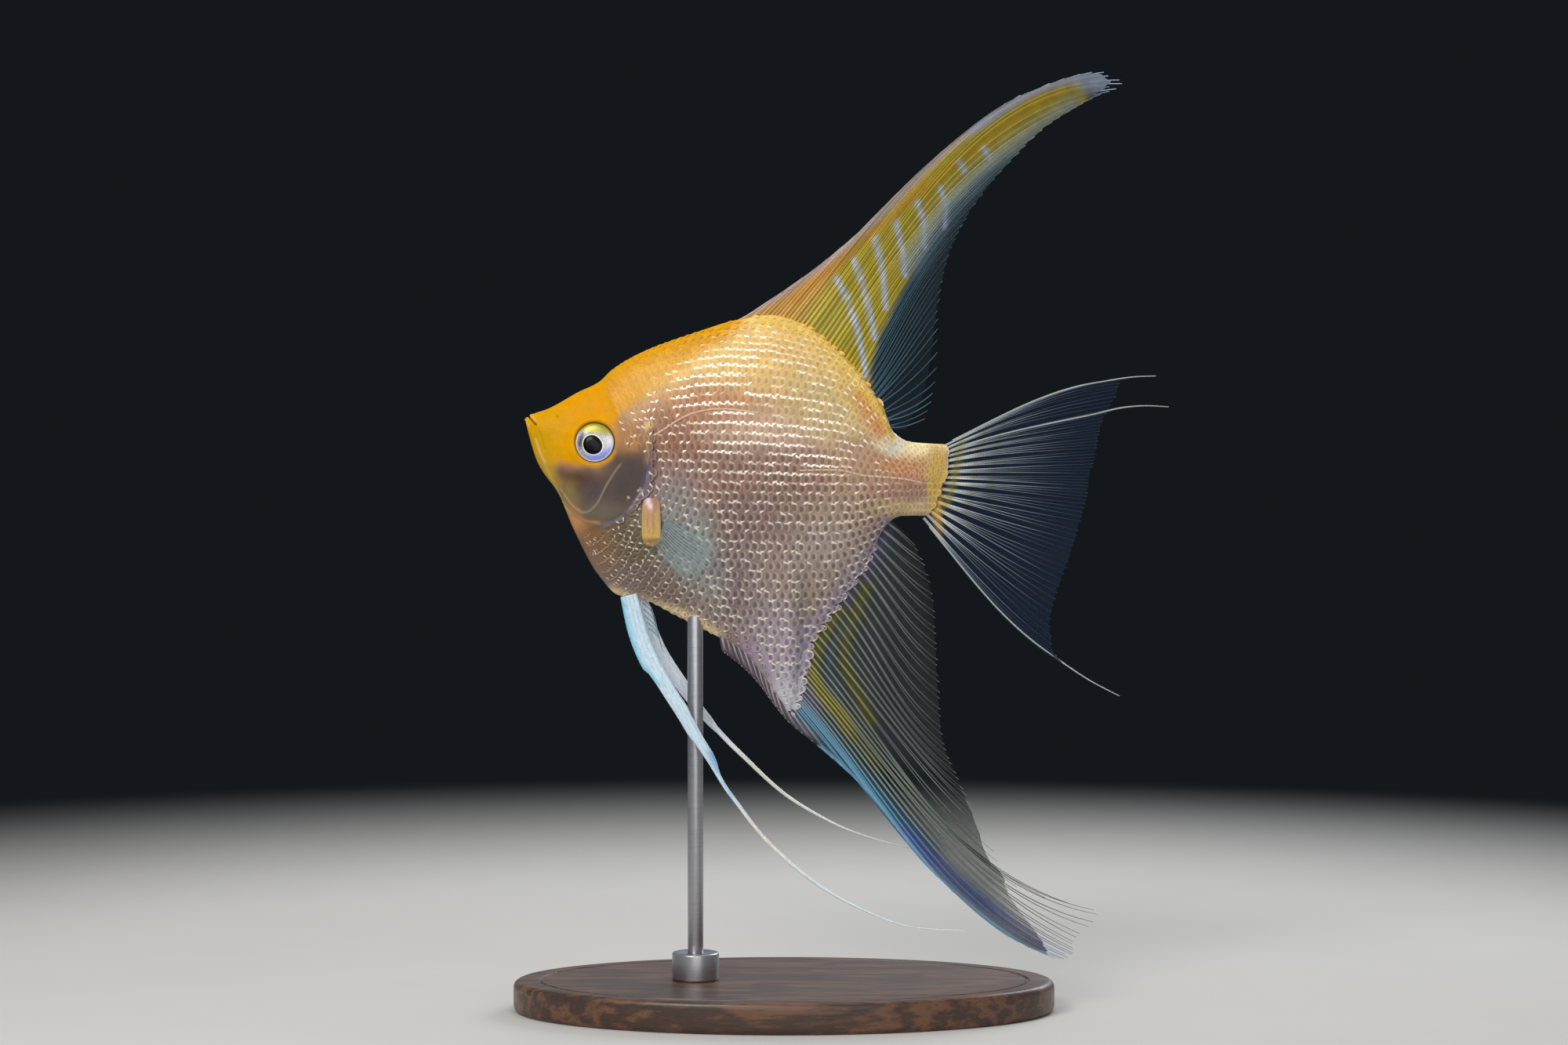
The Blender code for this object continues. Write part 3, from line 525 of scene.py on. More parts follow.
class Graph:
    """One material's nodes, ending in a Principled shader."""

    def __init__(self, name: str) -> None:
        """Start a material with that name."""
        self.material = bpy.data.materials.new(name)
        self.material.use_nodes = True
        self.tree = self.material.node_tree
        self.shader = self.tree.nodes["Principled BSDF"]

    def node(self, kind: str, settings: dict | None = None, feeds: dict | None = None) -> bpy.types.Node:
        """Add a node.

        Args:
            kind: The node's type.
            settings: Its properties, set first.
            feeds: What goes into its sockets, by name or number.

        Returns:
            The new node.
        """
        made = self.tree.nodes.new(kind)
        for key, value in (settings or {}).items():
            setattr(made, key, value)
        for key, value in (feeds or {}).items():
            self.feed(made.inputs[key], value)
        return made

    def feed(self, socket: bpy.types.NodeSocket, value: Feed) -> None:
        """Link a signal to a socket, or set it to a constant."""
        if isinstance(value, Signal):
            value = value.socket
        if isinstance(value, bpy.types.NodeSocket):
            self.tree.links.new(value, socket)
        elif isinstance(value, (tuple, np.ndarray)):
            padded = [float(v) for v in value] + [1.0]
            socket.default_value = padded[:len(socket.default_value)]
        else:
            socket.default_value = value

    def set(self, **sockets: Feed) -> None:
        """Feed the Principled shader; underscores stand for the spaces in its sockets' names."""
        for name, value in sockets.items():
            self.feed(self.shader.inputs[name.replace("_", " ")], value)

    def attribute(self, name: str) -> bpy.types.Node:
        """The node that reads a painted attribute of the mesh."""
        return self.node("ShaderNodeAttribute", {"attribute_name": name})

    def amount(self, name: str) -> Signal:
        """A painted amount."""
        return Signal(self, self.attribute(name).outputs["Fac"])

    def colour(self, name: str) -> bpy.types.NodeSocket:
        """A painted colour."""
        return self.attribute(name).outputs["Color"]

    def place(self) -> bpy.types.NodeSocket:
        """The place on the model, in metres."""
        return self.node("ShaderNodeTexCoord").outputs["Object"]

    def pair(self, layer: str) -> tuple[Signal, Signal]:
        """The two coordinates of a UV map."""
        source = self.node("ShaderNodeUVMap", {"uv_map": layer}).outputs[0]
        parts = self.node("ShaderNodeSeparateXYZ", None, {0: source}).outputs
        return Signal(self, parts[0]), Signal(self, parts[1])

    def stretched(self, sizes: Colour, lean: float) -> bpy.types.NodeSocket:
        """The place in units of the given sizes in millimetres, the upright axis leaned in degrees."""
        feeds = {"Vector": self.place(), "Angle": math.radians(lean)}
        turned = self.node("ShaderNodeVectorRotate", {"rotation_type": "Y_AXIS"}, feeds).outputs[0]
        scale = tuple(1 / (size * MM) for size in sizes)
        return self.node("ShaderNodeMapping", None, {"Vector": turned, "Scale": scale}).outputs[0]

    def noise(self, sizes: Colour, detail: float = 3, roughness: float = 0.5, lean: float = 0) -> Signal:
        """Unevenness from 0 to 1 whose grains have about the given sizes in millimetres."""
        feeds = {"Vector": self.stretched(sizes, lean), "Scale": 1, "Detail": detail, "Roughness": roughness}
        return Signal(self, self.node("ShaderNodeTexNoise", None, feeds).outputs[0])

    def mix(self, under: Feed, over: Feed, share: Signal | float) -> bpy.types.NodeSocket:
        """Lay one colour over another by a share."""
        feeds = {0: share, 6: under, 7: over}
        return self.node("ShaderNodeMix", {"data_type": "RGBA"}, feeds).outputs[2]

    def scaled(self, colour: Feed, factor: Signal | float) -> bpy.types.NodeSocket:
        """Lighten or darken a colour by a factor."""
        node = self.node("ShaderNodeVectorMath", {"operation": "SCALE"}, {0: colour, "Scale": factor})
        return node.outputs[0]

    def bump(self, height: Signal, depth: float, strength: float = 1) -> bpy.types.NodeSocket:
        """The normal of a surface roughened by a height of the given depth in millimetres."""
        feeds = {"Height": height, "Distance": depth * MM, "Strength": strength}
        return self.node("ShaderNodeBump", None, feeds).outputs[0]


class Finish(ABC):
    """How a surface looks."""

    name: str
    slot: str

    @abstractmethod
    def build(self, graph: Graph) -> None:
        """Lay out the nodes."""

    def dress(self, piece: Object) -> None:
        """Give a piece this finish alone."""
        material = bpy.data.materials.get(self.name)
        if material is None:
            graph = Graph(self.name)
            self.build(graph)
            material = graph.material
        piece.data.materials.clear()
        piece.data.materials.append(material)


@dataclass(frozen=True)
class SkinFinish(Finish):
    """Moist, finely pored skin that carries the painted markings."""

    name: str = "skin"
    slot: str = "head_skin"
    roughness: float = 0.50

    def build(self, graph: Graph) -> None:
        """Vary the painted colour a little and roughen it with pores."""
        broad = graph.noise((2.2, 2.2, 2.2), 4)
        grain = graph.noise((0.28, 0.28, 0.28), 2)
        speck = graph.noise((0.5, 0.5, 0.4), 1).between(0.66, 0.72)
        colour = graph.scaled(graph.colour("Marking"), 0.86 + 0.28 * broad)
        colour = graph.mix(colour, graph.scaled(colour, 0.72), speck * 0.45)
        graph.set(Base_Color=colour, Roughness=self.roughness + 0.16 * (grain - 0.5), Coat_Weight=0.03,
                  Coat_Roughness=0.3, Specular_IOR_Level=0.06, Subsurface_Weight=0.12,
                  Subsurface_Scale=0.0012,
                  Normal=graph.bump(grain + broad * 0.8, 0.035))


@dataclass(frozen=True)
class ScaleFinish(Finish):
    """Overlapping scales: dark at the heart, pale at the rim, with silvery lines between the rows that are
    partly painted highlight.
    """

    name: str = "scales"
    slot: str = "flank_scales"
    rim_colour: Colour = (216, 196, 180)
    silver_colour: Colour = (255, 244, 228)

    def build(self, graph: Graph) -> None:
        """Draw each scale from its own map and lay the pattern on the painted markings."""
        along, across = graph.pair("Scale")
        aside = abs(across - 0.5) * 2.0
        shade = graph.amount("Shade")
        # The Silver amount says where the painted highlight lies on each scale.
        silver, rim_share, heart_share = (graph.amount(name) for name in ("Silver", "Rim", "Heart"))
        ground = graph.colour("Marking")
        off = (along - 0.69) / 0.15
        heart = 1 - (off * off + aside * aside / 0.19).between(0.2, 1.4)
        rim = (along + 0.08 * aside * aside).between(0.8, 0.97)
        colour = graph.scaled(ground, 0.88 + 0.22 * shade)
        colour = graph.mix(colour, graph.scaled(colour, 0.34), heart * heart_share * shade.between(-0.4, 0.5))
        pale = graph.mix(ground, linear(self.rim_colour), 0.55)
        colour = graph.mix(colour, pale, rim * rim_share)
        # Painted highlight: near-white glints along each scale's upper and lower margins, partly the scales'
        # own silvery sheen.
        gap = 1 - (0.5 - across).between(0, 0.02) * along.between(0.84, 0.9)
        bright = along.between(0.5, 0.6) * aside.between(0.36, 0.52) * gap * silver
        colour = graph.mix(colour, linear(self.silver_colour), bright)
        fine = graph.noise((0.25, 0.25, 0.25), 2)
        graph.set(Base_Color=colour, Metallic=bright * 0.25,
                  Roughness=0.42 - 0.16 * bright + 0.12 * (fine - 0.5),
                  Coat_Weight=0.04 + 0.3 * bright, Coat_Roughness=0.22, Specular_IOR_Level=0.22,
                  Normal=graph.bump((along * 70).sine() * 0.12 + fine, 0.01))


@dataclass(frozen=True)
class EyeFinish(Finish):
    """Silver-lavender iris round a black pupil, under a clear wet coat."""

    name: str = "eye"
    slot: str = "eyes"

    def build(self, graph: Graph) -> None:
        """Ring the pupil by the distance from the eye's axis, painted on the mesh."""
        reach, height, rear = (graph.amount(name) for name in ("Reach", "Height", "Rear"))
        grain = graph.noise((0.35, 0.35, 0.35), 3)
        colour = graph.mix(linear((138, 138, 158)), linear((196, 196, 214)), grain.between(0.3, 0.7))
        white = rear.between(0.25, 0.75) * grain.between(0.2, 0.5) * 0.8
        colour = graph.mix(colour, linear((236, 238, 238)), white)
        colour = graph.mix(colour, linear((134, 146, 236)), (rear * 0.5 - height).between(0.3, 0.75) * 0.8)
        colour = graph.mix(colour, linear((172, 166, 30)), (height + 0.15 * rear).between(0.28, 0.6) * 0.9)
        front = (0 - rear).between(0.42, 0.62) * (1 - reach.between(0.7, 0.84))
        front = front * (1 - (0 - height).between(0.1, 0.4))
        colour = graph.mix(colour, linear((44, 42, 40)), front * 0.8)
        ring = reach.between(0.82, 0.86) * (1 - reach.between(0.89, 0.92)) * (1 - height.between(0.2, 0.6))
        colour = graph.mix(colour, linear((240, 236, 214)), ring * 0.75)
        # Painted shade: a dark olive-brown ring round the eye's edge, where the socket's rim is.
        colour = graph.mix(colour, linear((78, 60, 12)), reach.between(0.9, 0.96))
        thin = reach.between(0.484, 0.5) * (1 - reach.between(0.52, 0.555))
        colour = graph.mix(colour, linear((255, 244, 206)), thin * (1 - (0 - height).between(0.2, 0.5) * 0.5))
        colour = graph.mix(linear((2, 2, 3)), colour, reach.between(0.474, 0.492))
        graph.set(Base_Color=colour, Roughness=0.3, Metallic=reach.between(0.5, 0.6) * 0.2, Coat_Weight=0.1,
                  Coat_Roughness=0.08, Specular_IOR_Level=0.12, Normal=graph.bump(grain, 0.02))


@dataclass(frozen=True)
class WebFinish(Finish):
    """Thin, partly clear web between fin rays."""

    name: str = "membrane"
    slot: str = "fin_web"
    folds: float = 60.0

    def build(self, graph: Graph) -> None:
        """Let the painted amounts set how clear the web is, with a faint pleat for each ray."""
        share, along = graph.pair("Fin")
        pleat = (share * (self.folds * 2 * math.pi)).sine()
        cloud = graph.noise((1.6, 1.6, 1.6), 3)
        colour = graph.scaled(graph.colour("Marking"), 0.8 + 0.4 * cloud)
        # Painted highlight: the web is lighter on the crest of each pleat.
        colour = graph.mix(colour, graph.scaled(colour, 1.35), pleat.between(0.2, 1) * 0.5)
        cover = (graph.amount("Cover") * (0.88 + 0.24 * cloud)).clamped()
        graph.set(Base_Color=colour, Alpha=cover, Roughness=0.42, Coat_Weight=0.03, Specular_IOR_Level=0.12,
                  Normal=graph.bump(pleat * 0.5 + cloud, 0.05))


@dataclass(frozen=True)
class RayFinish(Finish):
    """Fine, jointed fin rays that carry the painted markings."""

    name: str = "fin_rays"
    slot: str = "fin_web"

    def build(self, graph: Graph) -> None:
        """Mark the joints along each ray."""
        joints = (graph.amount("Length") * (2 * math.pi / 0.55)).sine()
        grain = graph.noise((0.5, 0.5, 0.5), 2)
        colour = graph.scaled(graph.colour("Marking"), 0.82 + 0.36 * grain)
        colour = graph.mix(colour, graph.scaled(colour, 0.6), joints.between(0.3, 1) * 0.45)
        graph.set(Base_Color=colour, Roughness=0.42, Coat_Weight=0.08, Specular_IOR_Level=0.3,
                  Alpha=graph.amount("Cover"), Normal=graph.bump(joints * 0.3 + grain, 0.03))


@dataclass(frozen=True)
class PelvicFinish(Finish):
    """Ice-blue to white hardened rays with fine lengthwise streaks."""

    name: str = "blades"
    slot: str = "pelvic_rays"

    def build(self, graph: Graph) -> None:
        """Streak the painted colour along the fin and mark faint joints."""
        cloud = graph.noise((1.2, 1.2, 1.2), 3)
        streak = graph.noise((0.16, 0.16, 5), 2, lean=27.0)
        joints = (graph.amount("Length") * (2 * math.pi / 0.8)).sine()
        colour = graph.scaled(graph.colour("Marking"), 0.86 + 0.26 * cloud)
        colour = graph.mix(colour, graph.scaled(colour, 0.66), streak.between(0.5, 0.66) * 0.7)
        graph.set(Base_Color=colour, Roughness=0.36 + 0.1 * (streak - 0.5), Coat_Weight=0.2,
                  Coat_Roughness=0.2,
                  Normal=graph.bump(joints * 0.06 + cloud + streak, 0.04))


@dataclass(frozen=True)
class WoodFinish(Finish):
    """Dark stained, waxed hardwood."""

    name: str = "waxed_wood"
    slot: str = "base_wood"

    def build(self, graph: Graph) -> None:
        """Run the grain along the base, with finer pores over broad rings."""
        rings = graph.noise((42, 7, 7), 5, 0.6)
        pores = graph.noise((6, 0.35, 0.35), 2)
        bands = ((rings * 34).sine() * 0.5 + 0.5) ** 1.4
        colour = graph.mix(linear((58, 36, 24)), linear((104, 68, 44)), bands)
        colour = graph.mix(colour, linear((34, 22, 16)), pores.between(0.56, 0.72) * 0.7)
        graph.set(Base_Color=colour, Roughness=0.36 + 0.2 * pores, Coat_Weight=0.3, Coat_Roughness=0.22,
                  Normal=graph.bump(bands * 0.3 - pores, 0.05))


@dataclass(frozen=True)
class SteelFinish(Finish):
    """Steel brushed round its axis."""

    name: str = "brushed_steel"
    slot: str = "stand_steel"

    def build(self, graph: Graph) -> None:
        """Streak the steel with fine turning marks."""
        marks = graph.noise((6, 6, 0.12), 2)
        smudge = graph.noise((5, 5, 5), 2)
        colour = graph.mix(linear((150, 150, 154)), linear((196, 196, 200)), marks)
        graph.set(Base_Color=colour, Metallic=1.0, Roughness=0.24 + 0.12 * marks + 0.08 * smudge,
                  Normal=graph.bump(marks, 0.015))


# ---------------------------------------------------------------- shaping


def only(thing: Object) -> None:
    """Select one object and nothing else."""
    bpy.ops.object.select_all(action="DESELECT")
    thing.select_set(True)
    bpy.context.view_layer.objects.active = thing


def points_of(thing: Object) -> Array:
    """Read a mesh's points, in millimetres."""
    flat = np.empty(len(thing.data.vertices) * 3)
    thing.data.vertices.foreach_get("co", flat)
    return flat.reshape(-1, 3) / MM


def move_points(thing: Object, points: Array) -> None:
    """Put a mesh's points at new places, given in millimetres."""
    thing.data.vertices.foreach_set("co", (points * MM).ravel())
    thing.data.update()


def tidy_shell(thing: Object, weld: float = 0.0005, fill: bool = True) -> None:
    """Merge doubled points, close holes and turn the faces outwards."""
    only(thing)
    bpy.ops.object.mode_set(mode="EDIT")
    bpy.ops.mesh.select_all(action="SELECT")
    bpy.ops.mesh.remove_doubles(threshold=weld * MM)
    if fill:
        bpy.ops.mesh.fill_holes(sides=0)
    bpy.ops.mesh.select_all(action="SELECT")
    bpy.ops.mesh.normals_make_consistent(inside=False)
    bpy.ops.object.mode_set(mode="OBJECT")


def smooth_shade(thing: Object, angle: float = 60) -> None:
    """Shade a piece smoothly except across edges sharper than an angle in degrees."""
    only(thing)
    bpy.ops.object.shade_smooth_by_angle(angle=math.radians(angle))


def lay_grid(name: str, points: Array, layer: str) -> Object:
    """Shape a grid of faces.

    Args:
        name: The piece's name.
        points: The place of each corner, by column and row.
        layer: The name of its UV map, which runs from 0 to 1 across columns and rows.

    Returns:
        The new piece.
    """
    columns, rows = points.shape[0] - 1, points.shape[1] - 1
    bpy.ops.object.select_all(action="DESELECT")
    bpy.ops.mesh.primitive_grid_add(x_subdivisions=columns, y_subdivisions=rows, size=2)
    thing = bpy.context.active_object
    thing.name = thing.data.name = name
    flat = points_of(thing) * MM
    i = np.rint((flat[:, 0] + 1) / 2 * columns).astype(int)
    j = np.rint((flat[:, 1] + 1) / 2 * rows).astype(int)
    move_points(thing, points[i, j])
    thing.data.uv_layers[0].name = layer
    return thing


def thicken(thing: Object, thickness: float) -> None:
    """Give a sheet a thickness, half to each side."""
    only(thing)
    change = thing.modifiers.new("Thickness", "SOLIDIFY")
    change.thickness = thickness * MM
    change.offset = 0.0
    bpy.ops.object.modifier_apply(modifier=change.name)


def join_faces(name: str, points: Array, faces: Array) -> Object:
    """Make one mesh of many small closed shapes from arrays of points and four-cornered faces."""
    mesh = bpy.data.meshes.new(name)
    mesh.vertices.add(len(points))
    mesh.vertices.foreach_set("co", (points * MM).ravel())
    mesh.loops.add(faces.size)
    mesh.loops.foreach_set("vertex_index", faces.ravel())
    mesh.polygons.add(len(faces))
    mesh.polygons.foreach_set("loop_start", np.arange(0, faces.size, 4))
    mesh.update(calc_edges=True)
    mesh.validate()
    thing = bpy.data.objects.new(name, mesh)
    bpy.context.scene.collection.objects.link(thing)
    return thing


def join(thing: Object, *others: Object) -> None:
    """Make other meshes part of one."""
    only(thing)
    for other in others:
        other.select_set(True)
    bpy.ops.object.join()


def write_amount(thing: Object, name: str, values: Array) -> None:
    """Store one number for each point of a mesh."""
    thing.data.attributes.new(name, "FLOAT", "POINT").data.foreach_set("value", np.asarray(values, float))


def write_colour(thing: Object, name: str, colours: Array) -> None:
    """Store one colour for each point of a mesh."""
    full = np.concatenate([colours, np.ones((len(colours), 1))], axis=1)
    thing.data.attributes.new(name, "FLOAT_COLOR", "POINT").data.foreach_set("color", full.ravel())


def write_map(thing: Object, layer: str, corners: Array) -> None:
    """Store a UV map, with one place for each corner of each face."""
    layers = thing.data.uv_layers
    target = layers.get(layer) or layers.new(name=layer)
    target.data.foreach_set("uv", corners.ravel())


def corner_points(thing: Object) -> Array:
    """The number of the point at each corner of each face."""
    result = np.empty(len(thing.data.loops), dtype=int)
    thing.data.loops.foreach_get("vertex_index", result)
    return result


def report(thing: Object, *replaced: str) -> None:
    """Let a piece ride on the model, say which CAD nodes it stands for, and log it."""
    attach(thing, ROOT)
    if replaced:
        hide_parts(*replaced)
    faces = sum(len(face.vertices) - 2 for face in thing.data.polygons)
    LOG.info("%s: %d triangles, for %s", thing.name, faces, ", ".join(replaced) or "no node")


def settle(thing: Object, finish: Finish, angle: float, *replaced: str) -> None:
    """Shade a finished piece smoothly up to an angle, dress it and let it ride."""
    smooth_shade(thing, angle)
    finish.dress(thing)
    report(thing, *replaced)


def tubes(name: str, paths: Array, radii: Array, sides: int = 5, flat: float = 1) -> Object:
    """Make many tapered bars with closed ends as one mesh.

    Args:
        name: The piece's name.
        paths: The middle line of each bar: bars by steps by three.
        radii: The radius at each step of each bar.
        sides: How many sides a bar has.
        flat: Thickness across the fish as a share of the radius.

    Returns:
        The new piece, with its length along each bar painted on.
    """
    count, steps = radii.shape
    run = np.gradient(paths, axis=1)
    run /= np.linalg.norm(run, axis=2, keepdims=True) + 1e-9
    across = np.cross(run, np.array([0.0, 1, 0.0]))
    across /= np.linalg.norm(across, axis=2, keepdims=True) + 1e-9
    outward = np.cross(run, across)
    angles = np.arange(sides) * 2 * math.pi / sides
    round_ = (across[:, :, None] * np.cos(angles)[:, None]
              + flat * outward[:, :, None] * np.sin(angles)[:, None])
    shell = paths[:, :, None] + round_ * radii[:, :, None, None]
    points = shell.reshape(-1, 3)
    bar = np.arange(count)[:, None, None] * steps * sides
    step = np.arange(steps - 1)[None, :, None] * sides
    side = np.arange(sides)[None, None, :]
    after = (side + 1) % sides
    corners = [bar + step + side, bar + step + after, bar + step + after + sides, bar + step + side + sides]
    faces = np.stack([np.broadcast_to(c, (count, steps - 1, sides)) for c in corners], axis=-1)
    thing = join_faces(name, points, faces.reshape(-1, 4))
    lengths = np.concatenate([np.zeros((count, 1)), np.cumsum(
        np.linalg.norm(np.diff(paths, axis=1), axis=2), axis=1)], axis=1)
    write_amount(thing, "Length", np.repeat(lengths.ravel(), sides))
    only(thing)
    bpy.ops.object.mode_set(mode="EDIT")
    bpy.ops.mesh.select_all(action="SELECT")
    bpy.ops.mesh.fill_holes(sides=0)
    bpy.ops.mesh.select_all(action="SELECT")
    bpy.ops.mesh.normals_make_consistent(inside=False)
    bpy.ops.object.mode_set(mode="OBJECT")
    return thing


# ---------------------------------------------------------------- skin and scales


class FlankMap:
    """Places on a flank, by distance along the fish and by height up its curved section."""

    anal: Point = (-3, 18)
    dorsal: Point = (-8, 19.5)
    fin_half: float = 0.42
    fin_reach: Point = (0.9, -0.3)
    tail_margin: float = 0.35

    def __init__(self) -> None:
        """Walk up the section at many stations along the fish."""
        self.xs = np.linspace(-42, BODY.end, 480)
        self.heights = np.linspace(-62, 62, 1241)
        table, low, high = [], [], []
        for x in self.xs:
            z, y, climb = section(x)
            anal, dorsal = (base[0] < x < base[1] for base in (self.anal, self.dorsal))
            bare = self.tail_margin if x > self.anal[1] else -0.1
            low.append(climb[0] + (-self.fin_reach[0] if anal else bare))
            high.append(climb[-1] - (-self.fin_reach[1] if dorsal else bare))
            first = self.beyond(climb, y, z, anal)
            last = self.beyond(climb[::-1], y[::-1], z[::-1], dorsal)
            y = np.where((z < z.mean()) & anal | (z > z.mean()) & dorsal, np.maximum(y, self.fin_half), y)
            climbs, *sections = (np.concatenate([a[:0:-1], b, c[1:]])
                                 for a, b, c in zip(first, (climb, y, z), last))
            table.append(np.stack([np.interp(self.heights, climbs, places) for places in sections], -1))
        self.table, self.low, self.high = np.array(table), np.array(low), np.array(high)
        along = np.gradient(self.table, self.xs, axis=0)
        up = np.gradient(self.table, self.heights, axis=1)
        ones, zeros = np.ones(along.shape[:2]), np.zeros(along.shape[:2])
        first = np.stack([ones, along[..., 0], along[..., 1]], -1)
        second = np.stack([zeros, up[..., 0], up[..., 1]], -1)
        normal = np.cross(second, first)
        self.normal = normal / (np.linalg.norm(normal, axis=2, keepdims=True) + 1e-9)

    def beyond(self, climb: Array, y: Array, z: Array, fin: bool) -> tuple[Array, Array, Array]:
        """Carry a section on past its first place: flat on to a fin, or round to the other flank.

        Args:
            climb: Distance of each place from the midline.
            y: Half thickness at each place.
            z: Level of each place.
            fin: Whether a fin stands there.

        Returns:
            The distance, half thickness and level of the places beyond, outwards.
        """
        further = 2 * climb[0] - climb
        if fin:
            return further, np.full(len(y), self.fin_half), z[0] + further - climb[0]
        return further, -y, z

    def read(self, table: Array, x: Array, height: Array) -> Array:
        """Read a table between its stations."""
        i = np.clip((x - self.xs[0]) / (self.xs[1] - self.xs[0]), 0, len(self.xs) - 1.001)
        j = np.clip((height - self.heights[0]) / (self.heights[1] - self.heights[0]), 0,
                    len(self.heights) - 1.001)
        a, b = i.astype(int), j.astype(int)
        s, t = (i - a)[..., None], (j - b)[..., None]
        near = table[a, b] * (1 - t) + table[a, b + 1] * t
        far = table[a + 1, b] * (1 - t) + table[a + 1, b + 1] * t
        return near * (1 - s) + far * s

    def place(self, x: Array, height: Array, lift: Array, side: Side) -> Array:
        """Find points on a flank.

        Args:
            x: Distance along the fish.
            height: Distance up the section from the midline.
            lift: Distance out from the surface.
            side: The flank.

        Returns:
            The points in space.
        """
        spot = self.read(self.table, x, height)
        normal = self.read(self.normal, x, height)
        points = np.stack([x, spot[..., 0], spot[..., 1]], -1) + normal * lift[..., None]
        points[..., 0] = BODY.slant(points[..., 0], points[..., 2])
        return points * np.array([1.0, side.value, 1.0])

    def height(self, x: Array, z: Array) -> Array:
        """Find how far up the section a level lies at each place."""
        found = []
        for station, level in zip(np.rint(np.interp(x, self.xs, np.arange(len(self.xs)))).astype(int), z):
            own = (self.heights > self.low[station] + 1.5) & (self.heights < self.high[station] - 1.5)
            found.append(np.interp(level, self.table[station, own, 1], self.heights[own]))
        return np.array(found)

    def edge(self, limits: Array, x: Array) -> Array:
        """Read the lowest or highest height on the flank."""
        return np.interp(x, self.xs, limits)


def section(x: float, steps: int = 220) -> tuple[Array, Array, Array]:
    """Walk up one flank's section.

    Args:
        x: The place along the fish.
        steps: How many steps to take.

    Returns:
        The level, the half thickness and the distance from the midline at each step.
    """
    share = (1 - np.cos(np.linspace(0, math.pi, steps + 1))) / 2
    low, high = BODY.belly(x), BODY.back(x)
    z = low + (high - low) * share
    y = BODY.flank(np.full(steps + 1, x), z)
    y[0] = y[-1] = 0.0
    climb = np.concatenate([[0.0], np.cumsum(np.hypot(np.diff(z), np.diff(y)))])
    return z, y, climb - np.interp(BODY.midline(x), z, climb)


def unwrap(x: Array, height: Array, left: Array) -> Array:
    """Lay both flanks flat side by side, as shares of one square."""
    across = 0.01 + (x - BODY.start) / (BODY.end - BODY.start) * 0.47 + np.where(left, 0, 0.51)
    return np.stack([across, (height + 60) / 120.0], -1)


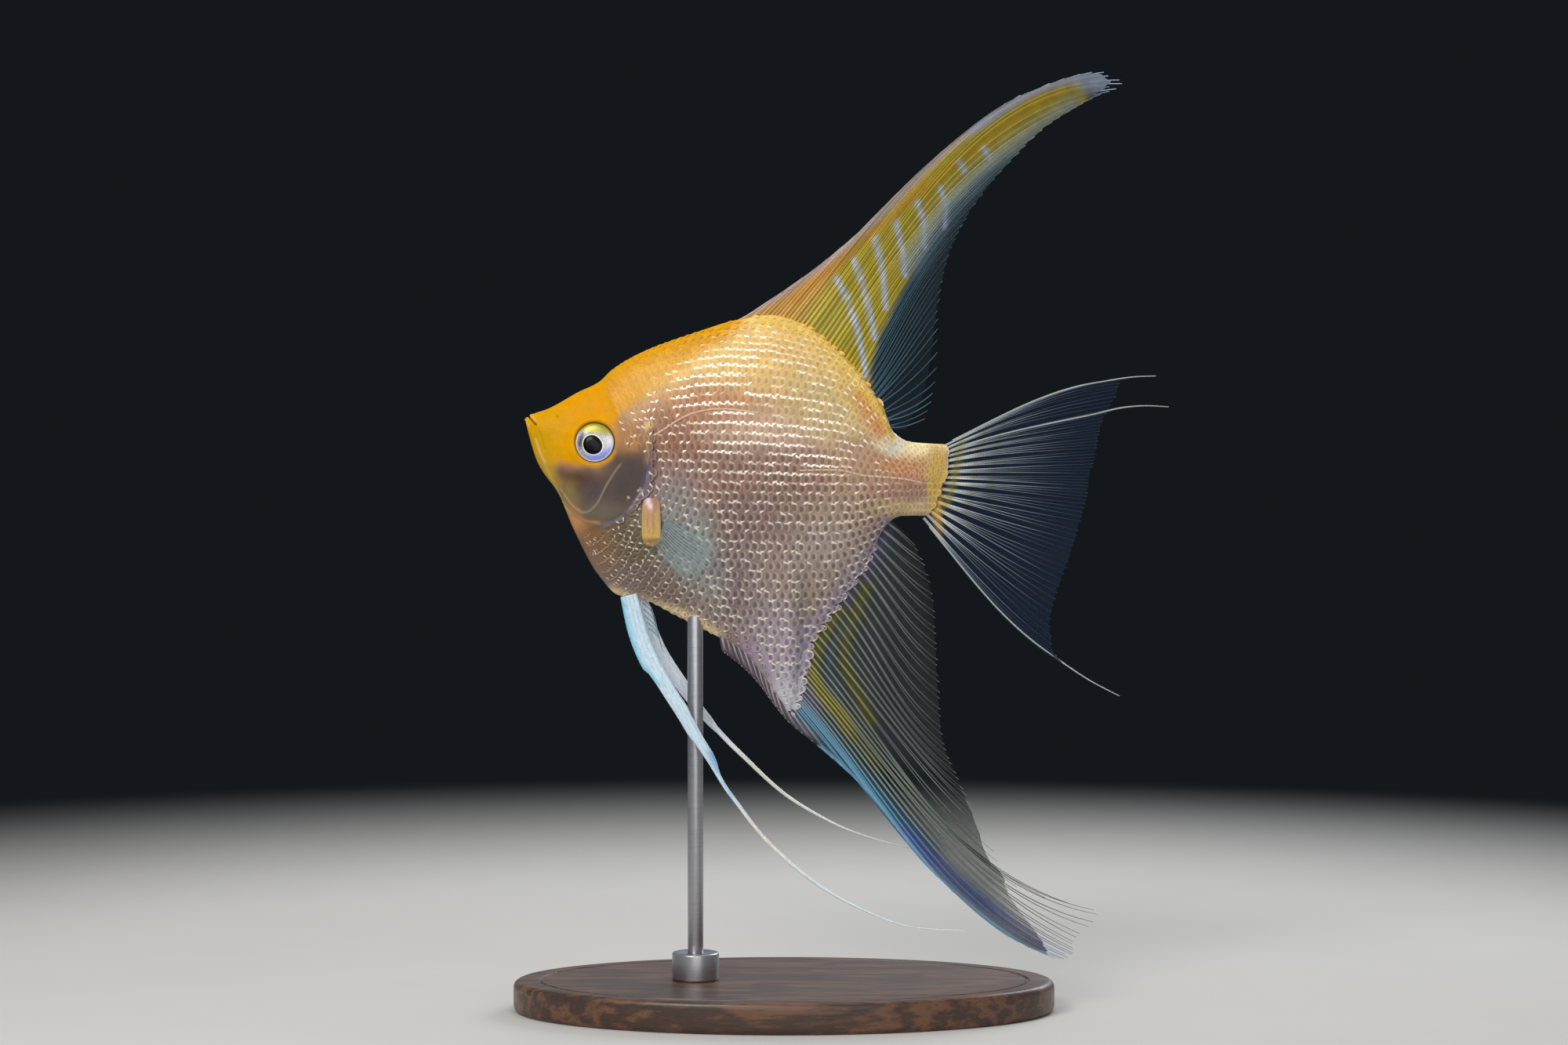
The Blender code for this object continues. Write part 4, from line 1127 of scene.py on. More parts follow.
@dataclass
class Skin:
    """The one skin over head, trunk and tail stalk, which lies under the scales by their depth."""

    head_rings: int = 240
    body_rings: int = 70
    steps: int = 144
    head_length: float = 23.0
    coat_depth: float = 0.26
    lip_round: float = 0.12
    finish: SkinFinish = field(default_factory=SkinFinish)

    def stations(self) -> Array:
        """Places of the rings, closest together at the lips."""
        t = np.linspace(0, 1, self.head_rings)
        head = BODY.start + self.head_length * (0.04 * t + 0.96 * t * t)
        body = np.linspace(BODY.start + self.head_length, BODY.end, self.body_rings + 1)[1:]
        return np.concatenate([head, body])

    def levels(self, x: float) -> tuple[Array, Array]:
        """Levels of one ring's points, closest together at the eye, with their heights."""
        z, _, climb = section(x, 400)
        share = np.linspace(0, 1, 401)
        crowd = 1 + (2.0 * bell(z - HEAD.eye[1], 5) + 1.8 * bell(z - 99.5, 4.5)) * bell(x + 36.5, 7)
        total = np.concatenate([[0.0], np.cumsum((crowd[1:] + crowd[:-1]) / 2)])
        wanted = np.linspace(0, total[-1], self.steps + 1)
        picked = np.interp(wanted, total, share)
        return np.interp(picked, share, z), np.interp(picked, share, climb)

    @staticmethod
    def relief(x: Array, z: Array) -> Array:
        """How far the head's features stand out, or sink in if less than nothing."""
        eye = np.hypot(x - HEAD.eye[0], z - HEAD.eye[1])
        nostril = np.hypot(x - HEAD.nostril[0], z - HEAD.nostril[1])
        knob = np.hypot(x - HEAD.gill_knob[0], z - HEAD.gill_knob[1])
        gill = nearest(HEAD.gill_edge, x, z)
        plate = Area((*HEAD.gill_edge, (-34, 112), (-41, 106)), ORANGE, 1, 0.14)
        rise = 0.45 * bell(eye - 4.3, 1.1) - 1.5 * (1 - ramp(eye, 3.45, 4.05))
        rise += 0.44 * plate.cover(x, z) * bell(gill, 4.5) - 0.12 * bell(gill - 0.3, 0.35)
        rise += 0.09 * bell(nearest(HEAD.cheek_ridge, x, z), 0.24)
        rise -= 0.06 * bell(nearest(HEAD.cheek_ridge, x - 0.6, z + 0.1), 0.5)
        rise -= 0.16 * bell(nearest(HEAD.lip_groove, x, z), 0.28)
        rise += 0.14 * bell(nearest(HEAD.jaw_ridge, x, z), 0.35)
        rise += 0.04 * bell(nostril - 0.45, 0.2) - 0.30 * bell(nostril, 0.22)
        rise += 0.25 * bell(knob, 0.7)
        return rise + 0.05 * mottle(x, z, 2.6, 7) + 0.03 * mottle(x, z, 1.1, 8)

    @staticmethod
    def lips(x: Array, z: Array) -> Array:
        """How far the lips stand out, and the mouth sinks in between them."""
        mouth = nearest(HEAD.mouth, x, z)
        return 0.16 * bell(mouth - 0.5, 0.3) * (1 - ramp(x, -47.6, -46.8)) - 0.5 * bell(mouth, 0.15)

    def surface(self) -> tuple[Array, Array]:
        """Points of the skin ring by ring, up the left flank and down the right, and their heights."""
        rings, heights = [], []
        for x in self.stations():
            z, climb = self.levels(float(x))
            y = BODY.flank(np.full(len(z), x), z)
            y[0] = y[-1] = 0.0
            left = np.stack([np.full(len(z), x), -y, z], -1)
            rings.append(np.concatenate([left, (left * (1, -1, 1))[-2::-1]]))
            heights.append(np.concatenate([climb, climb[-2::-1]]))
        points, heights = np.array(rings), np.array(heights)
        normal = np.cross(np.gradient(points, axis=0), np.gradient(points, axis=1))
        normal /= np.linalg.norm(normal, axis=2, keepdims=True) + 1e-9
        x, z = points[..., 0], points[..., 2]
        scaled = ramp(x - HEAD.scales_from(z), -0.5, 1.2)
        edge = ramp(np.minimum(BODY.back(x) - z, z - BODY.belly(x)), 0, 1.2)
        lift = self.relief(x, z) * edge + self.lips(x, z) - self.coat_depth * scaled
        points = points + normal * lift[..., None]
        points[:, 1:self.steps, 1] = np.minimum(points[:, 1:self.steps, 1], -0.01)
        points[:, self.steps + 1:-1, 1] = np.maximum(points[:, self.steps + 1:-1, 1], 0.01)
        seam = (points[:, 0] + points[:, -1]) / 2
        points[:, 0] = points[:, -1] = seam * (1, 0, 1)
        points[..., 0] = BODY.slant(points[..., 0], points[..., 2])
        tip = points[:1].copy()
        tip[..., 1:] = tip[..., 1:].mean(axis=1, keepdims=True) * 0.7 + tip[..., 1:] * 0.3
        tip[..., 0] -= self.lip_round
        return np.concatenate([tip, points]), np.concatenate([heights[:1], heights])

    def build(self) -> Object:
        """Shape, paint and dress the skin."""
        points, heights = self.surface()
        skin = lay_grid("skin", points, "OFBake")
        columns, rows = points.shape[0] - 1, points.shape[1] - 1
        share = np.empty(len(skin.data.loops) * 2)
        skin.data.uv_layers["OFBake"].data.foreach_get("uv", share)
        share = share.reshape(-1, 2)
        i, j = np.rint(share[:, 0] * columns).astype(int), np.rint(share[:, 1] * rows).astype(int)
        middle = share[:, 1].reshape(-1, 4).mean(axis=1).repeat(4)
        write_map(skin, "OFBake", unwrap(points[i, j, 0], heights[i, j], middle < 0.5))
        tidy_shell(skin)
        where = points_of(skin)
        write_colour(skin, "Marking", paint(BODY_GROUND, BODY_MARKS, where[:, 0], where[:, 2]))
        settle(skin, self.finish, 80,
               "head", "jaw", "gill_cover_left", "gill_cover_right", "trunk", "tail_stalk")
        return skin


@dataclass
class Coat:
    """Overlapping scales of one part of a flank, in rows that follow the body."""

    side: Side
    flanks: FlankMap
    part: str
    first_x: float
    end_x: float
    pitch: float = 1.50
    row: float = 1.88
    length: float = 2.65
    half_width: float = 1.31
    thickness: float = 0.055
    seed: int = 41
    last_x: float = 30.6
    pitch_share: Profile = Profile((
        (-38, 0.52), (-30, 0.58), (-24, 0.82), (-14, 1), (10, 1), (22, 0.84), (31, 0.72)))
    row_share: Profile = Profile(((-45, 0.82), (-18, 1), (17, 1), (27, 0.68), (36, 0.6)))
    squeeze: Profile = Profile((
        (-38, 0.72), (-26, 0.9), (-10, 1), (8, 1), (22, 0.76), (31, 0.68)))
    finish: ScaleFinish = field(default_factory=ScaleFinish)

    def columns(self) -> Array:
        """Places along the fish of the scales' columns, half a pitch apart."""
        places = [float(self.flanks.xs[0])]
        while places[-1] < self.last_x:
            places.append(places[-1] + self.pitch / 2 * float(self.pitch_share(places[-1])))
        return np.array(places)

    def rows(self) -> list[float]:
        """Heights of the rows at mid-body, from the lowest up."""
        up, down = [0.0], [0.0]
        while up[-1] < 44.0:
            up.append(up[-1] + self.row * float(self.row_share(up[-1])))
        while down[-1] > -52.0:
            down.append(down[-1] - self.row * float(self.row_share(down[-1])))
        return down[:0:-1] + up

    def row_height(self, x: Array, row: float) -> Array:
        """Height of a row along the fish: arched above, and rising towards the throat below."""
        arch = -0.009 * (x + 10) ** 2 * np.clip(row / 30, 0, 1.2)
        throat = 0.030 * np.maximum(-14.0 - x, 0) ** 2 * np.clip(-row / 12, 0, 1)
        return row * self.squeeze(x) + arch + throat

    def roots(self) -> tuple[Array, ...]:
        """Where the scales grow: place along, height, slope of the row, size across, and row."""
        columns = self.columns()
        found = []
        for number, row in enumerate(self.rows()):
            x = columns[number % 2::2]
            height = self.row_height(x, row)
            slope = (self.row_height(x + 0.1, row) - height) / 0.1
            size = float(self.row_share(row)) * self.squeeze(x)
            z = self.flanks.place(x, height, np.zeros(len(x)), self.side)[:, 2]
            keep = (height > self.flanks.edge(self.flanks.low, x))
            keep &= height < self.flanks.edge(self.flanks.high, x)
            keep &= (x > HEAD.scales_from(z) - 0.9) & (x >= self.first_x) & (x < self.end_x)
            found.append(np.stack([x, height, slope, size, np.full(len(x), number)], -1)[keep])
        return tuple(np.concatenate(found).T)

    def build(self) -> None:
        """Shape every scale on the flank's curve as one mesh, then paint and dress it."""
        x, height, slope, size, row = self.roots()
        count = len(x)
        chance = np.random.default_rng([self.seed, self.side is Side.LEFT, abs(int(self.end_x))])
        shade, turn, grow = chance.random(count), chance.normal(0, 0.05, count), chance.normal(1, 0.04, count)
        across = np.linspace(-1, 1, 7)
        low, high = (self.flanks.edge(limits, x) for limits in (self.flanks.low, self.flanks.high))
        near = np.minimum(height - low, high - height)
        inner = np.maximum(ramp(near, 0, 4.5), ramp(x, 16, 20))
        grow = grow * (0.46 + 0.54 * inner)
        along = np.array([0.0, 0.45, 0.8, 1.0])
        v, u = [grid.ravel() for grid in np.meshgrid(along, across, indexing="ij")]
        turned = u * math.radians(75)
        reach = v * (1 - 0.42 * (1 - np.cos(turned)) * v)
        wide = np.sin(turned) * (0.76 + 0.27 * np.sin(math.pi * v ** 0.8))
        rise = -0.34 + 0.42 * v - 0.13 * v * v + 0.07 * (1 - u * u) * np.sin(math.pi * v)
        a = reach * (self.length * self.pitch_share(x) * grow)[:, None]
        b = wide * (self.half_width * size * grow)[:, None]
        angle = np.arctan(slope) + turn
        far = x[:, None] + a * np.cos(angle)[:, None] - b * np.sin(angle)[:, None]
        up = height[:, None] + a * np.sin(angle)[:, None] + b * np.cos(angle)[:, None]
        small = np.minimum(size * self.pitch_share(x), 1)[:, None]
        z = self.flanks.place(x, height, np.zeros(count), self.side)[:, 2]
        raised = Skin.relief(x, z) * ramp(-x, 23, 25.5)
        lift = raised[:, None] - 0.26 + (rise + 0.26) * small + 0 * far
        top = self.flanks.place(far, up, lift, self.side)
        under = self.flanks.place(far, up, lift - self.thickness, self.side)
        faces = self.faces(len(along), len(across), count)
        coat = join_faces(f"scales_{self.part}_{self.side.word}",
                          np.concatenate([top, under], axis=1).reshape(-1, 3), faces)
        each = 2 * len(u)
        corners = corner_points(coat)
        local = np.stack([v, (u + 1) / 2], -1)
        local = np.tile(np.concatenate([local, local]), (count, 1))
        write_map(coat, "Scale", local[corners])
        base = unwrap(x, height, np.full(count, self.side is Side.LEFT)).repeat(each, axis=0)
        write_map(coat, "OFBake", (base + (local - 0.5) * 0.003)[corners])
        tidy_shell(coat, weld=0.0, fill=False)
        where = points_of(coat)
        write_colour(coat, "Marking", paint(BODY_GROUND, BODY_MARKS, where[:, 0], where[:, 2]))
        write_amount(coat, "Shade", shade.repeat(each))
        # Painted highlight: how strong the silvery glints are on each scale, partly the scales' own sheen.
        bright = amount(SILVER_GLINT_MARKS, SILVER_GLINT_GROUND, x, z)
        upper, lower = (self.silver(x, row - step, bright, chance.random(count)) for step in (0, 1))
        silver = np.where(u > 0.1, upper[:, None], np.where(u < -0.1, lower[:, None], 0))
        write_amount(coat, "Silver", np.concatenate([silver, silver], axis=1).ravel())
        write_amount(coat, "Rim", (amount(RIM_MARKS, RIM_GROUND, x, z) * (0.3 + 0.7 * inner)).repeat(each))
        write_amount(coat, "Heart", amount(HEART_MARKS, HEART_GROUND, x, z).repeat(each))
        settle(coat, self.finish, 50)

    @staticmethod
    def silver(x: Array, row: Array, bright: Array, luck: Array) -> Array:
        """How strong the silvery glint is between a row and the next, a painted highlight: long lines, or
        flecks where it dims.
        """
        line = ramp(mottle(x, row * 6, 6, 21) + 0.5 * mottle(x, row * 1.2, 1.2, 22), -0.9, -0.1)
        fleck = ramp(luck, 0.55, 0.7)
        share = ramp(bright, 0.4, 0.9)
        return share * line + (1 - share) * 0.75 * ramp(bright, 0.08, 0.3) * fleck

    @staticmethod
    def faces(rows: int, columns: int, count: int) -> Array:
        """Corner numbers of every face: top, underside and rim of each scale."""
        index = np.arange(rows * columns).reshape(rows, columns)
        top = np.stack([index[:-1, :-1], index[:-1, 1:], index[1:, 1:], index[1:, :-1]], -1).reshape(-1, 4)
        rim = np.concatenate([index[0], index[1:, -1], index[-1, -2::-1], index[-2:0:-1, 0]])
        after = np.roll(rim, -1)
        size = rows * columns
        wall = np.stack([rim, rim + size, after + size, after], -1)
        one = np.concatenate([top, top[:, ::-1] + size, wall])
        return (one[None] + (np.arange(count) * 2 * size)[:, None, None]).reshape(-1, 4)


@dataclass
class LateralLine:
    """The pale pored tubes on one flank's scales, in an upper arch and a lower run to the tail."""

    side: Side
    flanks: FlankMap
    arch: tuple[Point, ...] = (
        (-25.2, 110.6), (-22.8, 112), (-20.7, 113.4), (-18, 114.8), (-15, 115.6), (-12, 115.9),
        (-8.2, 115.6), (-4, 115))
    run: tuple[Point, ...] = (
        (3, 104.2), (10.5, 104.2), (15, 103.2), (19.5, 102.8), (24, 102.3), (28.4, 101.4))
    pitch: float = 1.45
    gap: float = 0.16
    radius: float = 0.24
    sink: float = 0.10
    colour: Colour = (236, 208, 184)
    finish: SkinFinish = field(default_factory=SkinFinish)

    def tube_paths(self, points: tuple[Point, ...], gap: float) -> Array:
        """Middle lines of the tubes along one course."""
        smooth = course(points, np.linspace(0, 1, 300))
        run = np.concatenate([[0.0], np.cumsum(np.hypot(*np.diff(smooth, axis=0).T))])
        starts = np.arange(0, run[-1] - self.pitch, self.pitch)[:, None]
        where = starts + np.linspace(0, self.pitch - gap, 6)
        x, z = (np.interp(where, run, smooth[:, i]) for i in (0, 1))
        height = self.flanks.height(x.ravel(), z.ravel()).reshape(x.shape)
        return self.flanks.place(x, height, 0 * x - self.sink, self.side)

    def build(self) -> None:
        """Shape, paint and dress the tubes."""
        paths = np.concatenate([self.tube_paths(self.arch, 0), self.tube_paths(self.run, self.gap)])
        swell = np.array([0.7, 1, 0.9, 0.85, 0.9, 0.6]) * self.radius
        line = tubes(f"lateral_line_{self.side.word}", paths, np.tile(swell, (len(paths), 1)), sides=8)
        where = points_of(line)
        ground = paint(BODY_GROUND, BODY_MARKS, where[:, 0], where[:, 2])
        write_colour(line, "Marking", 0.35 * ground + 0.65 * linear(self.colour))
        settle(line, self.finish, 60)


@dataclass
class Eye:
    """One eye: iris, pupil and clear coat in one lens-shaped piece sunk in its socket."""

    side: Side
    forward_tilt: float = 0.12
    upward_tilt: float = 0.11
    bulge: Profile = Profile((
        (0, 5.3), (0.3, 5.24), (0.44, 5.1), (0.475, 4.98), (0.53, 5.06), (0.62, 5.04), (0.8, 4.88),
        (0.9, 4.7), (1, 4.1)))
    finish: EyeFinish = field(default_factory=EyeFinish)

    def build(self) -> None:
        """Shape a globe into the eye and paint its rings."""
        bpy.ops.object.select_all(action="DESELECT")
        bpy.ops.mesh.primitive_uv_sphere_add(segments=96, ring_count=72, radius=1.0)
        eye = bpy.context.active_object
        eye.name = eye.data.name = f"iris_{self.side.word}"
        ball = points_of(eye) * MM
        reach, front = self.reach(ball[:, 0], ball[:, 1]), ball[:, 2] > -0.01
        dx, dz = ball[:, 0] * HEAD.eye_radius, ball[:, 1] * HEAD.eye_radius
        back = 4.10 - 2.6 * np.sqrt(np.clip(1 - ball[:, 0] ** 2 - ball[:, 1] ** 2, 0, 1))
        out = np.where(front, self.bulge(reach), back)
        out = out + self.forward_tilt * dx - self.upward_tilt * dz
        move_points(eye, np.stack([HEAD.eye[0] + dx, self.side.value * out, HEAD.eye[1] + dz], -1))
        tidy_shell(eye, fill=False)
        where = points_of(eye)
        dx, dz = [(where[:, i] - HEAD.eye[i // 2]) / HEAD.eye_radius for i in (0, 2)]
        write_amount(eye, "Reach", self.reach(dx, dz))
        write_amount(eye, "Height", dz)
        write_amount(eye, "Rear", dx)
        settle(eye, self.finish, 60, f"eye_{self.side.word}")

    @staticmethod
    def reach(dx: Array, dz: Array) -> Array:
        """Distance from the eye's axis as a share of its radius, the pupil set a little forward."""
        close = 1 - np.minimum(np.hypot(dx, dz), 1)
        return np.hypot(dx - HEAD.pupil_shift[0] * close, dz - HEAD.pupil_shift[1] * close)


# ---------------------------------------------------------------- fins


@dataclass(frozen=True)
class Ray:
    """A ray that shapes a fin: its place on the base, its ends and its slope at both, in degrees."""

    share: float
    root: Point
    tip: Point
    rise: float
    fall: float


@dataclass(frozen=True)
class Fan:
    """A curved surface spread on rays that lean out of the middle plane."""

    rays: tuple[Ray, ...]
    lean: Callable[[Array, Array], Array]
    handle: float = 0.36

    def place(self, share: Array, along: Array) -> Array:
        """Find points on the surface.

        Args:
            share: Places along the fin's base, from 0 to 1.
            along: Places from the root of a ray to its tip, from 0 to 1.

        Returns:
            The points in space.
        """
        shares = [ray.share for ray in self.rays]
        columns = np.array([(*ray.root, *ray.tip, ray.rise, ray.fall) for ray in self.rays]).T
        root_x, root_z, tip_x, tip_z, rise, fall = (Profile(tuple(zip(shares, c)))(share) for c in columns)
        reach = np.hypot(tip_x - root_x, tip_z - root_z) * self.handle
        rise, fall = np.radians(rise), np.radians(fall)
        first_x, first_z = root_x + reach * np.cos(rise), root_z + reach * np.sin(rise)
        last_x, last_z = tip_x - reach * np.cos(fall), tip_z - reach * np.sin(fall)
        t, u = along, 1 - along
        weights = (u ** 3, 3 * u * u * t, 3 * u * t * t, t ** 3)
        x = sum(w * p for w, p in zip(weights, (root_x, first_x, last_x, tip_x)))
        z = sum(w * p for w, p in zip(weights, (root_z, first_z, last_z, tip_z)))
        return np.stack([x, self.lean(share, along), z], -1)


def wave(size: float, rate: float, start: float) -> Callable[[Array, Array], Array]:
    """A fin's sway out of the middle plane, growing towards the tips of its rays."""
    return lambda share, along: size * along * along * np.sin(rate * share + start)


@dataclass(frozen=True)
class FinPaint:
    """Colours of a fin's web and rays, and how much each hides what is behind it."""

    web: Colour
    web_marks: tuple[Mark, ...]
    ray: Colour
    ray_marks: tuple[Mark, ...]
    cover: float
    cover_marks: tuple[Mark, ...]
    ray_cover: float = 0.8

    def on_web(self, piece: Object) -> None:
        """Paint a web."""
        where = points_of(piece)
        write_colour(piece, "Marking", paint(self.web, self.web_marks, where[:, 0], where[:, 2], 0.35))
        write_amount(piece, "Cover", amount(self.cover_marks, self.cover, where[:, 0], where[:, 2]))

    def on_rays(self, piece: Object, tone: Array | float = 1) -> None:
        """Paint rays, each point a little lighter or darker by its tone."""
        where = points_of(piece)
        colours = paint(self.ray, self.ray_marks, where[:, 0], where[:, 2], 0.35)
        write_colour(piece, "Marking", colours * np.broadcast_to(tone, len(where))[:, None])
        cover = amount(self.cover_marks, self.cover, where[:, 0], where[:, 2])
        write_amount(piece, "Cover", self.ray_cover + (1 - self.ray_cover) * ramp(cover, 0.5, 0.9))


@dataclass
class Fin:
    """A middle fin: a thin web stretched on branched rays."""

    name: str
    node: str
    fan: Fan
    paint: FinPaint
    rays: int
    strands: tuple[float, ...]
    bunch: Profile
    radius: Profile
    web_reach: Profile
    ray_reach: Profile
    columns: int = 240
    rows: int = 40
    steps: int = 26
    web_thickness: float = 0.16
    uneven: float = 0.15
    ragged: float = 0.005
    web_finish: WebFinish = field(default_factory=WebFinish)
    ray_finish: RayFinish = field(default_factory=RayFinish)
    threads: tuple[tuple[float, tuple[Point, ...]], ...] = ()
    thread_colour: Colour = (176, 186, 186)

    def web(self) -> None:
        """Shape and paint the web, drawn in a little between the rays at its edge."""
        share = np.linspace(0, 1, self.columns + 1)[:, None] + np.zeros(self.rows + 1)
        between = np.abs(np.sin(math.pi * self.rays * share))
        reach = self.web_reach(share) - 0.008 * between
        along = np.linspace(0, 1, self.rows + 1)[None, :] * reach
        web = lay_grid(f"{self.name}_web", self.fan.place(share, along), "Fin")
        thicken(web, self.web_thickness)
        tidy_shell(web, fill=False)
        self.paint.on_web(web)
        settle(web, self.web_finish, 70, self.node)

    def strands_of(self) -> None:
        """Shape and paint the rays, each a bunch of strands that part towards its tip."""
        middle = (np.arange(self.rays) + 0.5) / self.rays
        offset = np.array(self.strands) / self.rays
        middle = np.repeat(middle, len(offset))[:, None]
        offset = np.tile(offset, self.rays)[:, None]
        along = np.linspace(0, 1, self.steps)[None, :] ** 0.9
        share = np.clip(middle + offset * self.bunch(along), 0, 1)
        chance = np.random.default_rng(17).normal(0, 1, middle.shape)
        reach = np.clip(self.ray_reach(middle) * (1 - self.ragged * np.abs(chance)), 0, 1)
        paths = self.fan.place(share, along * reach)
        radii = self.radius(along) * (1 + 0.08 * chance) + 0 * share
        rays = tubes(f"{self.name}_rays", paths, radii)
        tone = np.random.default_rng(23).uniform(1 - self.uneven, 1 + self.uneven, len(middle))
        self.paint.on_rays(rays, tone.repeat(len(points_of(rays)) // len(middle)))
        settle(rays, self.ray_finish, 60)

    def thread(self, number: int, share: float, tips: tuple[Point, ...]) -> None:
        """Shape one soft ray that runs on past the fin's edge."""
        along = np.linspace(0.05, 0.93, 8)
        start = self.fan.place(np.full(8, share), along)
        spots = np.concatenate([start, [(x, start[-1, 1], z) for x, z in tips]])
        path = course(spots, np.linspace(0, 1, 60))
        thread = tubes(f"{self.name}_thread_{number}", path[None], Profile(
            ((0, 0.16), (0.6, 0.18), (1, 0.07)))(np.linspace(0, 1, 60))[None], sides=8)
        count = len(points_of(thread))
        write_colour(thread, "Marking", np.tile(linear(self.thread_colour), (count, 1)))
        write_amount(thread, "Cover", np.full(count, 0.9))
        settle(thread, self.ray_finish, 60)

    def build(self) -> None:
        """Build the whole fin."""
        self.web()
        self.strands_of()
        for number, (share, tips) in enumerate(self.threads):
            self.thread(number, share, tips)


OLIVE: Colour = (186, 168, 44)
BAR_BLUE: Colour = (196, 216, 242)
DORSAL_BARS: tuple[tuple[Point, ...], ...] = (
    ((9.9, 140.7), (13, 134.4), (14.8, 126.9), (15.8, 122)),
    ((13.3, 144.2), (15.6, 137.3), (17.4, 129.2)),
    ((17.4, 148.2), (18.8, 141.3), (19.4, 135)),
    ((21.4, 151.4), (22.6, 145.9), (23.1, 141.3)),
    ((25.4, 155.1), (26.6, 151.1), (26.9, 146.5)),
    ((29.8, 158), (30.9, 154), (30.6, 150.5)),
    ((33.4, 162.8), (34.5, 161)),
    ((38, 165.4), (39.4, 163.2)),
)
DORSAL_EDGE = (
    (-9, 133.2), (-2.4, 136.6), (6.8, 142.9), (18, 152.4), (31.5, 165.6), (46.5, 175.8), (58, 179.6))
DORSAL_YELLOW = (
    (-10, 132), (-2.2, 137), (6.8, 143.6), (18, 153.2), (31.5, 166.4), (46.5, 176.8), (57, 180),
    (58, 174), (48, 168), (40.5, 162.5), (36, 159), (31, 153.8), (27.4, 147.5), (23.6, 141),
    (20.2, 134.2), (17.9, 128.8), (16.2, 120), (12, 122), (4, 128.6), (-4, 131.6))


def dorsal_marks(light: float) -> tuple[Mark, ...]:
    """Markings of the dorsal fin, on rays of full brightness or on the darker web."""
    def tint(colour: Colour) -> Colour:
        return tuple(c * light for c in colour)

    return (
        Area(DORSAL_YELLOW, tint(OLIVE), 1, 1),
        Area(((-10, 132), (-2.2, 137.4), (6.8, 144), (12.4, 148.4), (9.4, 141.4), (6.4, 134.6),
              (3.4, 129), (-4, 131.6)), tint((228, 172, 96)), 0.8, 1.6),
        Patch((8.2, 132.6), (5, 4.6), tint((206, 190, 84)), 0.7, 40, 0.7),
        Line(((2, 136.4), (8, 141.8), (13, 146.2), (20, 152.2), (27, 158.2)), 0.9,
             tint((206, 140, 50)), 0.6),
        Line(((26, 157.4), (36, 165.2), (46, 172.6), (52.5, 176.4)), 0.9, tint((206, 166, 20)), 0.8),
        Line(((0, 132.4), (6, 129.6), (11, 125.2), (15.4, 120.4)), 1.1, tint((246, 196, 40)), 0.9),
        *(Line(bar, 0.46, tint(BAR_BLUE), 0.95) for bar in DORSAL_BARS),
        Line(((24, 143.6), (30.5, 153.2), (36.5, 159.4), (44, 165.6), (55, 173.4)), 1.9,
             tint((150, 172, 182)), 0.7),
        Line(DORSAL_EDGE, 0.75, tint((190, 172, 176)), 0.85),
        Line(((36, 169), (46.5, 175.8), (58, 179.6)), 0.8, tint((172, 184, 206)), 0.8),
        Patch((60.5, 178.2), (4.6, 2.2), tint((186, 200, 226)), 0.85),
    )


DORSAL = Fin(
    name="dorsal", node="dorsal_fin",
    fan=Fan((
        Ray(0, (-9, 132.6), (-2.2, 136.7), 24, 30), Ray(0.1, (-5.2, 132.9), (6.8, 143.2), 48, 40),
        Ray(0.2, (-1.5, 132.9), (18, 152.8), 51, 43), Ray(0.3, (1.5, 132), (31.5, 166), 52, 41),
        Ray(0.38, (3.8, 130.7), (46.5, 176.2), 53, 30), Ray(0.44, (6, 129.4), (60, 180), 54, 9),
        Ray(0.48, (7.2, 128.4), (64.8, 177.8), 55, -2), Ray(0.54, (9, 126.9), (59.7, 175.3), 56, 21),
        Ray(0.6, (10.4, 125.4), (51.8, 170.8), 57, 29), Ray(0.66, (12.2, 123.6), (43.5, 163.2), 57, 38),
        Ray(0.73, (13.7, 121.9), (36, 154), 57, 43), Ray(0.8, (15.3, 119.9), (31.8, 145.8), 55, 48),
        Ray(0.86, (16.5, 118), (30, 137.5), 50, 53), Ray(0.91, (17.4, 116.5), (29.4, 129.3), 42, 52),
        Ray(0.95, (18.6, 114.2), (28.8, 120.3), 24, 45), Ray(1, (19.8, 111.8), (26.7, 113.1), -6, 25),
    ), wave(1.3, 4, 0)),
    paint=FinPaint(
        web=(14, 32, 40), web_marks=dorsal_marks(0.66),
        ray=(70, 104, 122), ray_marks=dorsal_marks(1),
        cover=0.50, cover_marks=(
            Area(DORSAL_YELLOW, (0.95, 0, 0), 1, 1.6), Line(DORSAL_EDGE, 1.4, (1, 0, 0)),
            Patch((60, 178.4), (6, 3), (0.9, 0, 0)), Patch((27, 122), (6, 9), (0.3, 0, 0)))),
    rays=42, strands=(-0.25, 0.25), bunch=Profile(((0, 0.3), (0.35, 0.9), (1, 1))),
    radius=Profile(((0, 0.2), (0.3, 0.135), (0.8, 0.1), (1, 0.07))),
    columns=200, rows=110, steps=64, uneven=0.32, ragged=0.012,
    web_reach=Profile(((0, 0.98), (0.44, 0.985), (0.5, 0.965), (0.6, 0.98), (0.8, 0.985), (0.9, 0.92),
                       (1, 0.5))),
    ray_reach=Profile(((0, 1), (1, 1))))

ANAL_SKY = ((3.6, 57.6), (6.6, 54.6), (11, 49.4), (16.5, 43.2), (22, 36.8), (27, 31))
ANAL_VIOLET = ((23, 34.6), (29, 28.8), (35, 23.4), (42, 18.2), (49, 13.6), (54, 10.8))
ANAL_FRONT = ((-12.4, 71.6), (-7.4, 67.4), (-2.8, 62), (1, 57.8), (5, 54))


